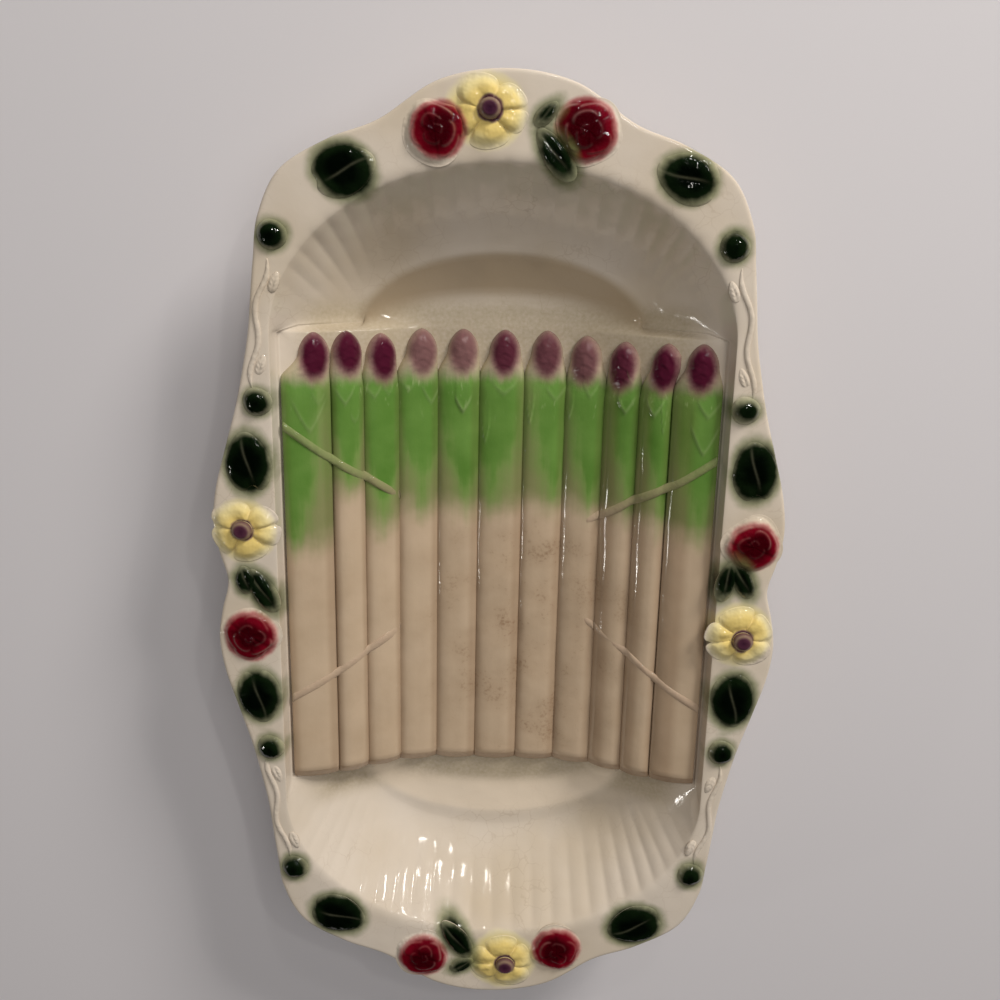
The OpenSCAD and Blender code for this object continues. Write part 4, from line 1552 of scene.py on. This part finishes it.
@dataclass(frozen=True)
class Studio:
    """Floor, lamps and camera, in metres."""

    lens: float = 39.6
    sensor: float = 36.0
    eye: tuple[float, float, float] = (-0.0003, 0.1538, 0.4435)
    eye_right: tuple[float, float, float] = (0.9998, 0.0200, -0.0048)
    eye_back: tuple[float, float, float] = (-0.0011, 0.2819, 0.9594)
    floor_size: float = 6.0
    floor_colour: Colour = (0.68, 0.65, 0.66, 1.0)
    air_colour: Colour = (0.125, 0.123, 0.123, 1.0)
    lamps: tuple[Lamp, ...] = (
        Lamp("key", (1.05, 1.52, 0.80), 0.6, 28.0, (1.0, 0.97, 0.93), mirrored=False),
        Lamp("sky", (0.20, 0.40, 1.35), 1.3, 6.4, (1.0, 0.98, 0.96), mirrored=False),
        Lamp("bulb_1", (0.62, 0.80, 0.62), 0.045, 0.7),
        Lamp("bulb_2", (0.40, 0.62, 0.95), 0.045, 0.7),
        Lamp("bulb_3", (0.22, 0.95, 0.80), 0.045, 0.7),
        Lamp("side_bulb", (-0.95, -0.33, 0.42), 0.06, 0.35))

    def camera(self) -> None:
        """Sets the camera where the photograph was taken from."""
        back = Vector(self.eye_back)
        up = back.cross(Vector(self.eye_right)).normalized()
        right = up.cross(back).normalized()
        data = bpy.data.cameras.new("camera")
        data.lens, data.sensor_width, data.clip_start = self.lens, self.sensor, 0.01
        camera = bpy.data.objects.new("camera", data)
        camera.matrix_world = Matrix.Translation(self.eye) @ Matrix((right, up, back)).transposed().to_4x4()
        bpy.context.scene.collection.objects.link(camera)
        bpy.context.scene.camera = camera

    def model(self) -> None:
        """Builds the studio."""
        self.camera()
        Bench.clear()
        bpy.ops.mesh.primitive_plane_add(size=self.floor_size)
        floor = bpy.context.object
        floor.name = "floor"
        paint = bpy.data.materials.new("floor")
        paint.use_nodes = True
        shader = paint.node_tree.nodes["Principled BSDF"]
        shader.inputs["Base Color"].default_value = self.floor_colour
        shader.inputs["Roughness"].default_value = 0.6
        floor.data.materials.append(paint)
        for lamp in self.lamps:
            lamp.set_up()
        world = bpy.data.worlds.new("studio")
        bpy.context.scene.world = world
        world.use_nodes = True
        world.node_tree.nodes["Background"].inputs["Color"].default_value = self.air_colour
        world.cycles_visibility.glossy = False
        bpy.context.scene.view_settings.view_transform = "Standard"


# Finishes


def tint(red: int, green: int, blue: int) -> Colour:
    """A colour from its screen values between 0 and 255."""
    parts = (value / 255.0 for value in (red, green, blue))
    return (*(p / 12.92 if p <= 0.04045 else ((p + 0.055) / 1.055) ** 2.4 for p in parts), 1.0)


class Amount:
    """A number that varies over a surface. Sums on it add Math nodes."""

    def __init__(self, recipe: Recipe, socket: bpy.types.NodeSocket) -> None:
        """Keeps the socket from which the number comes."""
        self.recipe = recipe
        self.socket = socket

    def sum(self, operation: str, *terms: Amount | float) -> Amount:
        """Adds a Math node.

        Args:
            operation: What the node does.
            terms: Its inputs, in order.

        Returns:
            Its result.
        """
        node = self.recipe.add("ShaderNodeMath", {"operation": operation}, dict(enumerate(terms)))
        return Amount(self.recipe, node.outputs[0])

    def __add__(self, other: Amount | float) -> Amount:
        """Sum."""
        return self.sum("ADD", self, other)

    def __sub__(self, other: Amount | float) -> Amount:
        """Difference."""
        return self.sum("SUBTRACT", self, other)

    def __rsub__(self, other: float) -> Amount:
        """Difference from a number."""
        return self.sum("SUBTRACT", other, self)

    def __mul__(self, other: Amount | float) -> Amount:
        """Product."""
        return self.sum("MULTIPLY", self, other)

    def step(self, low: Amount | float, high: Amount | float) -> Amount:
        """Soft step from 0 at low to 1 at high.

        Args:
            low: Amount at which it starts.
            high: Amount at which it ends.

        Returns:
            The step.
        """
        node = self.recipe.add("ShaderNodeMapRange", {"interpolation_type": "SMOOTHSTEP"},
                               {"Value": self, "From Min": low, "From Max": high})
        return Amount(self.recipe, node.outputs["Result"])


class Recipe:
    """Node tree of one finish."""

    def __init__(self, name: str) -> None:
        """Starts an empty material with its shader and its coordinates.

        Args:
            name: Name of the material.
        """
        self.material = bpy.data.materials.new(name)
        self.material.use_nodes = True
        self.tree = self.material.node_tree
        self.tree.nodes.clear()
        self.shader = self.add("ShaderNodeBsdfPrincipled")
        self.add("ShaderNodeOutputMaterial", {}, {"Surface": self.shader.outputs[0]})
        self.place = self.add("ShaderNodeTexCoord").outputs["Object"]

    def add(self, kind: str, settings: dict[str, object] | None = None,
            values: dict[str | int, object] | None = None) -> bpy.types.Node:
        """Adds a node.

        Args:
            kind: Its type.
            settings: Its settings, which are set first.
            values: Values or links of its inputs, by name or number.

        Returns:
            The node.
        """
        node = self.tree.nodes.new(kind)
        for key, value in (settings or {}).items():
            setattr(node, key, value)
        self.feed(node, values or {})
        return node

    def feed(self, node: bpy.types.Node, values: dict[str | int, object]) -> None:
        """Sets or links inputs of a node, by name or number.

        Args:
            node: The node.
            values: Values or links, by name or number of the input.
        """
        for key, value in values.items():
            source = value.socket if isinstance(value, Amount) else value
            if isinstance(source, bpy.types.NodeSocket):
                self.tree.links.new(source, node.inputs[key])
            else:
                node.inputs[key].default_value = source

    def noted(self, name: str) -> Amount:
        """A number that is stored on the mesh."""
        return Amount(self, self.add("ShaderNodeAttribute", {"attribute_name": name}).outputs["Fac"])

    def axis(self, name: str) -> Amount:
        """A coordinate of the place, in millimetres."""
        parts = self.add("ShaderNodeSeparateXYZ", {}, {0: self.place})
        return Amount(self, parts.outputs[name]) * (1.0 / MM)

    def noise(self, pitch: float, detail: float, stretch: float = 1.0, shift: float = 0.0) -> Amount:
        """Cloudy noise between about -1 and 1.

        Args:
            pitch: Size of its clouds in millimetres.
            detail: How many finer layers it has.
            stretch: How much longer it is along the plate.
            shift: Moves it to other clouds.

        Returns:
            The noise.
        """
        scale = 1.0 / (pitch * MM)
        mapping = self.add("ShaderNodeMapping", {}, {
            "Vector": self.place, "Location": (shift,) * 3, "Scale": (scale, scale / stretch, scale)})
        node = self.add("ShaderNodeTexNoise", {}, {
            "Vector": mapping.outputs[0], "Scale": 1.0, "Detail": detail})
        return (Amount(self, node.outputs["Fac"]) - 0.5) * 3.0

    def crackle(self, pitch: float, width: float) -> Amount:
        """Fine cracks of the glaze, 1 on a crack.

        Args:
            pitch: Size of the fields between them in millimetres.
            width: Their width as a share of it.

        Returns:
            How much of a crack a place is.
        """
        scale = 1.0 / (pitch * MM)
        warp = self.add("ShaderNodeTexNoise", {}, {"Vector": self.place, "Scale": scale * 1.5, "Detail": 2.0})
        shifted = self.add("ShaderNodeVectorMath", {"operation": "MULTIPLY_ADD"}, {
            0: warp.outputs["Color"], 1: (0.6 / scale,) * 3, 2: self.place})
        node = self.add("ShaderNodeTexVoronoi", {"feature": "DISTANCE_TO_EDGE"},
                        {"Vector": shifted.outputs[0], "Scale": scale})
        return 1.0 - Amount(self, node.outputs["Distance"]).step(0.0, width)

    def blend(self, share: Amount | float, low: object, high: object) -> bpy.types.NodeSocket:
        """Mixes two colours by a share."""
        node = self.add("ShaderNodeMix", {"data_type": "RGBA"}, {0: share, 6: low, 7: high})
        return node.outputs[2]

    def layered(self, colour: object, *layers: tuple[Amount, object]) -> object:
        """Lays colours over a first one.

        Args:
            colour: The first one.
            layers: Share and colour of each that follows.

        Returns:
            The mixed colour.
        """
        for share, layer in layers:
            colour = self.blend(share, colour, layer)
        return colour

    def finish(self, colour: object, roughness: Amount, height: Amount, depth: float) -> bpy.types.Material:
        """Links the shader.

        Args:
            colour: Colour of the surface.
            roughness: Its roughness.
            height: Height of its fine relief, from 0 to 1.
            depth: Depth of that relief in millimetres.

        Returns:
            The finished material.
        """
        bump = self.add("ShaderNodeBump", {}, {"Height": height, "Distance": depth * MM, "Strength": 1.0})
        self.feed(self.shader, {"Base Color": colour, "Roughness": roughness, "Normal": bump.outputs[0],
                                "IOR": 1.52})
        return self.material


@dataclass(frozen=True)
class Tone:
    """How one paint looks under the glaze.

    Attributes:
        halo: Colour of its bled edge.
        core: Colour inside the spot.
        deep: Colour where it lies thickest.
        spread: How far the halo reaches beyond the spot, in millimetres.
        inner: Where the full colour begins inside the spot.
        bare: How much of it runs off a raised edge.
    """

    halo: Colour
    core: Colour
    deep: Colour
    spread: float
    inner: float
    bare: float


TONES = {
    Paint.YELLOW: Tone(tint(224, 211, 172), tint(228, 211, 152), tint(224, 198, 120), 1.2, 2.0, 0.15),
    Paint.CRIMSON: Tone(tint(176, 84, 88), tint(116, 8, 26), tint(56, 1, 8), 1.2, 1.2, 0.35),
    Paint.VIOLET: Tone(tint(150, 128, 122), tint(84, 48, 62), tint(52, 22, 42), 0.5, 0.0, 0.4),
    Paint.GREEN: Tone(tint(108, 118, 72), tint(16, 28, 12), tint(3, 7, 3), 2.9, 1.5, 0.2),
}


@dataclass(frozen=True)
class SprigGlaze:
    """Cream glaze with the brushed paints of the garland under it.

    Attributes:
        name: Its name.
        raised: Whether the piece has pale raised edges.
        ledges_and_well_shading: Whether it has the ledges where the glaze lies thick, with painted shade on
            the far well's floor and painted light on the near one.
    """

    name: str
    raised: bool
    ledges_and_well_shading: bool = False
    cream: Colour = tint(217, 204, 188)
    warm: Colour = tint(200, 183, 158)
    olive: Colour = tint(174, 159, 132)
    # Painted shade for the far well's floor and painted light for the near well's floor.
    painted_shading_tone: Colour = tint(156, 136, 108)
    painted_near_light: Colour = tint(244, 226, 202)
    crack: Colour = tint(150, 122, 88)
    soot: Colour = tint(112, 92, 64)

    def body(self, mixing: Recipe) -> object:
        """Mixes the cream with its crackle and specks, and where asked, its thick glaze and the painted shade
        and light of the wells.

        Args:
            mixing: The recipe.

        Returns:
            The colour under the paints.
        """
        cloud = mixing.noise(46.0, 3.0)
        cracked = mixing.noise(30.0, 2.0, shift=3.0).step(-0.2, 0.6)
        layers = [((cloud * 0.5 + 0.35).step(0.0, 1.0), self.warm),
                  (mixing.crackle(7.0, 0.035) * cracked * 0.2, self.crack)]
        if self.ledges_and_well_shading:
            thick = mixing.noise(1.4, 3.0, shift=9.0) * 0.25 + 0.7
            # The far well's floor takes the painted shade and the near well's floor the painted light.
            far = mixing.axis("Y").step(-1.0, 1.0)
            painted_shading_tone = mixing.blend(far, self.painted_near_light, self.painted_shading_tone)
            layers += [(mixing.noted("ledge") * thick, self.olive),
                       (mixing.noted("well_light_and_shade") * (far * 0.15 + 0.7), painted_shading_tone)]
        specks = mixing.noise(0.9, 1.0, shift=7.0).step(0.93, 1.1)
        return mixing.layered(self.cream, *layers, (specks * 0.25, self.soot))

    def material(self) -> bpy.types.Material:
        """Mixes the glaze.

        Returns:
            The material.
        """
        mixing = Recipe(self.name)
        colour = self.body(mixing)
        edge = mixing.noise(4.0, 3.0, shift=1.0)
        drift = mixing.noise(9.0, 1.0, shift=5.0)
        for paint, tone in TONES.items():
            depth = mixing.noted(paint.value) + edge * 0.55 + drift * 0.5
            halo = depth.step(-tone.spread, 0.6) * 0.72
            core = depth.step(-0.5, tone.inner + 0.9)
            if self.raised:
                bared = 1.0 - mixing.noted("crest") * tone.bare
                halo, core = halo * (bared * 0.5 + 0.5), core * bared
            inside = mixing.blend((depth + drift * 1.6).step(1.0, 6.5), tone.core, tone.deep)
            colour = mixing.layered(colour, (halo, tone.halo), (core, inside))
        grain = mixing.noise(1.6, 3.0)
        height = mixing.noise(11.0, 1.0, shift=2.0) * 0.7 + grain * 0.06
        if self.raised:
            height = height + mixing.noise(2.4, 1.0, shift=11.0) * 0.7
        return mixing.finish(colour, grain * 0.015 + GLAZE_ROUGHNESS, height, 0.16)


@dataclass(frozen=True)
class SpearGlaze:
    """Finish of the spears and their cords, purple at the buds, green below and bare further down.

    Attributes:
        name: Its name.
        stain_at, stain_reach: Middle and half size of the stained field on the bundle.
        cut_end_shade_span: Places along the plate between which the painted shade and thick glaze of the cut
            ends fade.
        green_span: Places along the plate between which the green fades under the buds.
    """

    name: str
    stain_at: tuple[float, float] = (14.0, -30.0)
    stain_reach: tuple[float, float] = (44.0, 62.0)
    cut_end_shade_span: tuple[float, float] = (-86.8, -85.6)
    green_span: tuple[float, float] = (75.0, 83.0)
    stalk: Colour = tint(198, 175, 148)
    worn: Colour = tint(178, 154, 126)
    # Brown of the stain, also used for the painted shade between spears and on the cut ends.
    stain_and_shade_brown: Colour = tint(122, 90, 62)
    pale: Colour = tint(190, 182, 150)
    scale: Colour = tint(182, 198, 140)
    olive: Colour = tint(130, 134, 86)
    green: Colour = tint(100, 146, 58)
    deep: Colour = tint(60, 116, 22)
    shade: Colour = tint(86, 92, 44)
    mauve: Colour = tint(152, 92, 108)
    purple: Colour = tint(72, 6, 36)

    def material(self) -> bpy.types.Material:
        """Mixes the finish.

        Returns:
            The material.
        """
        mixing = Recipe(self.name)
        along = mixing.axis("Y")
        streak = mixing.noise(2.6, 2.0, stretch=9.0)
        cloud = mixing.noise(16.0, 3.0, shift=4.0)
        grain = mixing.noise(1.5, 3.0, shift=2.0)
        hollow = mixing.noted("hollow")
        bud = mixing.noted("purple").step(-1.1, -0.2)
        top = along + streak * 1.6 + cloud * 1.5
        off_x, off_y = ((mixing.axis(name) - at) * (1.0 / reach)
                        for name, at, reach in zip("XY", self.stain_at, self.stain_reach))
        stained = (1.0 - (off_x * off_x + off_y * off_y)).step(-0.5, 0.9)
        speckle = (mixing.noise(1.3, 4.0, shift=8.0) + cloud * 0.9).step(0.25, 1.3)
        stain = stained * (speckle * 0.45 + (cloud * 0.5 + 0.5) * 0.24)
        # Painted shade on the cut ends, where the glaze also lies thick.
        ends = 1.0 - along.step(*self.cut_end_shade_span)
        low = along + cloud * 4.0 + streak * 1.8 - mixing.noted("green_end") + mixing.noted("lean") * 4.0
        covered = low.step(-9.0, 7.0) * (1.0 - top.step(*self.green_span))
        oval = mixing.noted("purple") + streak * 0.06 + grain * 0.05
        strength = mixing.noted("purple_depth")
        colour = mixing.layered(
            self.stalk,
            ((cloud * 0.5 + 0.4).step(0.0, 1.0) * 0.6, self.worn),
            (stain, self.stain_and_shade_brown),
            # Painted shade between spears and on one side of each, in brown.
            (hollow * (1.0 - bud * 0.8) * 0.36, self.stain_and_shade_brown),
            (ends * (grain * 0.1 + 0.4), self.stain_and_shade_brown),
            (top.step(66.0, 80.0) * 0.7, self.pale),
            (covered * 0.92, self.greens(mixing, low, top, hollow, streak, cloud)),
            (oval.step(-0.45, 0.35) * 0.8 * (strength * 0.5 + 0.5), self.mauve),
            (oval.step(-0.2, 0.42) * strength * 0.96, self.purple),
            (mixing.noted("raised") * 0.3, self.scale))
        height = mixing.noise(8.0, 1.0, shift=1.0) * 0.5 + grain * (bud * 0.35 + 0.12) + streak * 0.15
        return mixing.finish(colour, grain * 0.02 + GLAZE_ROUGHNESS, height, 0.12)

    def greens(self, mixing: Recipe, low: Amount, top: Amount, hollow: Amount, streak: Amount,
               cloud: Amount) -> object:
        """Mixes the greens of the spears.

        Args:
            mixing: The recipe.
            low: How far a place lies over the ragged end of the green.
            top: Place along the plate, made ragged.
            hollow: Painted shade, low between spears and on one side of each.
            streak: Streaky noise.
            cloud: Cloudy noise.

        Returns:
            The mixed green.
        """
        full = (low.step(-6.0, 32.0) * 0.62 + mixing.noted("lean") * 0.7 + streak * 0.12 + cloud * 0.12
                + top.step(36.0, 70.0) * 0.2 - 0.22).step(0.05, 0.95)
        thick = (full - 0.6).step(0.0, 0.4) * (cloud * 0.5 + 0.5)
        scratch = mixing.noise(1.7, 2.0, stretch=3.5, shift=6.0).step(0.35, 1.0) * top.step(58.0, 74.0)
        # Painted shade darkens the green between spears and on one side of each.
        return mixing.layered(self.olive, (full, self.green), (thick * 0.9, self.deep),
                              (hollow * 0.4, self.shade), (scratch * 0.4, self.scale))


@dataclass(frozen=True)
class BareClay:
    """Unglazed foot, rubbed by use."""

    name: str
    clay: Colour = tint(196, 170, 138)
    rubbed: Colour = tint(138, 112, 84)

    def material(self) -> bpy.types.Material:
        """Mixes the clay.

        Returns:
            The material.
        """
        mixing = Recipe(self.name)
        cloud, grain = mixing.noise(14.0, 4.0), mixing.noise(0.8, 3.0)
        rubbed = (cloud * 0.5 + grain * 0.25 + 0.4).step(0.0, 1.0)
        colour = mixing.blend(rubbed, self.clay, self.rubbed)
        return mixing.finish(colour, grain * 0.05 + 0.82, grain + cloud, 0.15)


def dress(piece: bpy.types.Object, material: bpy.types.Material) -> None:
    """Gives a piece one finish."""
    piece.data.materials.clear()
    piece.data.materials.append(material)


def main() -> None:
    """Builds the plate in its studio."""
    logging.basicConfig(level=logging.INFO, format="%(name)s: %(message)s")
    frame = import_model()
    Studio().model()
    dish = Dish()
    bundle = Bundle(dish)
    dress(DishBody(dish).model(), SprigGlaze("dish glaze", False, True).material())
    spear_glaze = SpearGlaze("spear glaze").material()
    for piece in bundle.model():
        dress(piece, spear_glaze)
    tie_glaze = SpearGlaze("tie glaze").material()
    for cord in (TieCord("tie_cord_lower", bundle, left=61.0, right=-55.0, hump=0.0),
                 TieCord("tie_cord_upper", bundle, left=-54.0, right=51.0, hump=0.3)):
        dress(cord.model(), tie_glaze)
    sprig_glazes = {slot: SprigGlaze(slot.replace("_", " "), True).material()
                    for slot in ("rose_glaze", "yellow_glaze", "purple_glaze", "leaf_glaze")}
    for piece in Garland().model():
        dress(piece, sprig_glazes[piece["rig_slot"]])
    vine_glaze = SprigGlaze("vine glaze", True).material()
    for i in range(4):
        dress(Vine(dish, f"vine_{i + 1:02d}").model(), vine_glaze)
    dress(frame["nodes"]["foot_ring"], BareClay("bare clay").material())


if __name__ == "__main__":
    main()
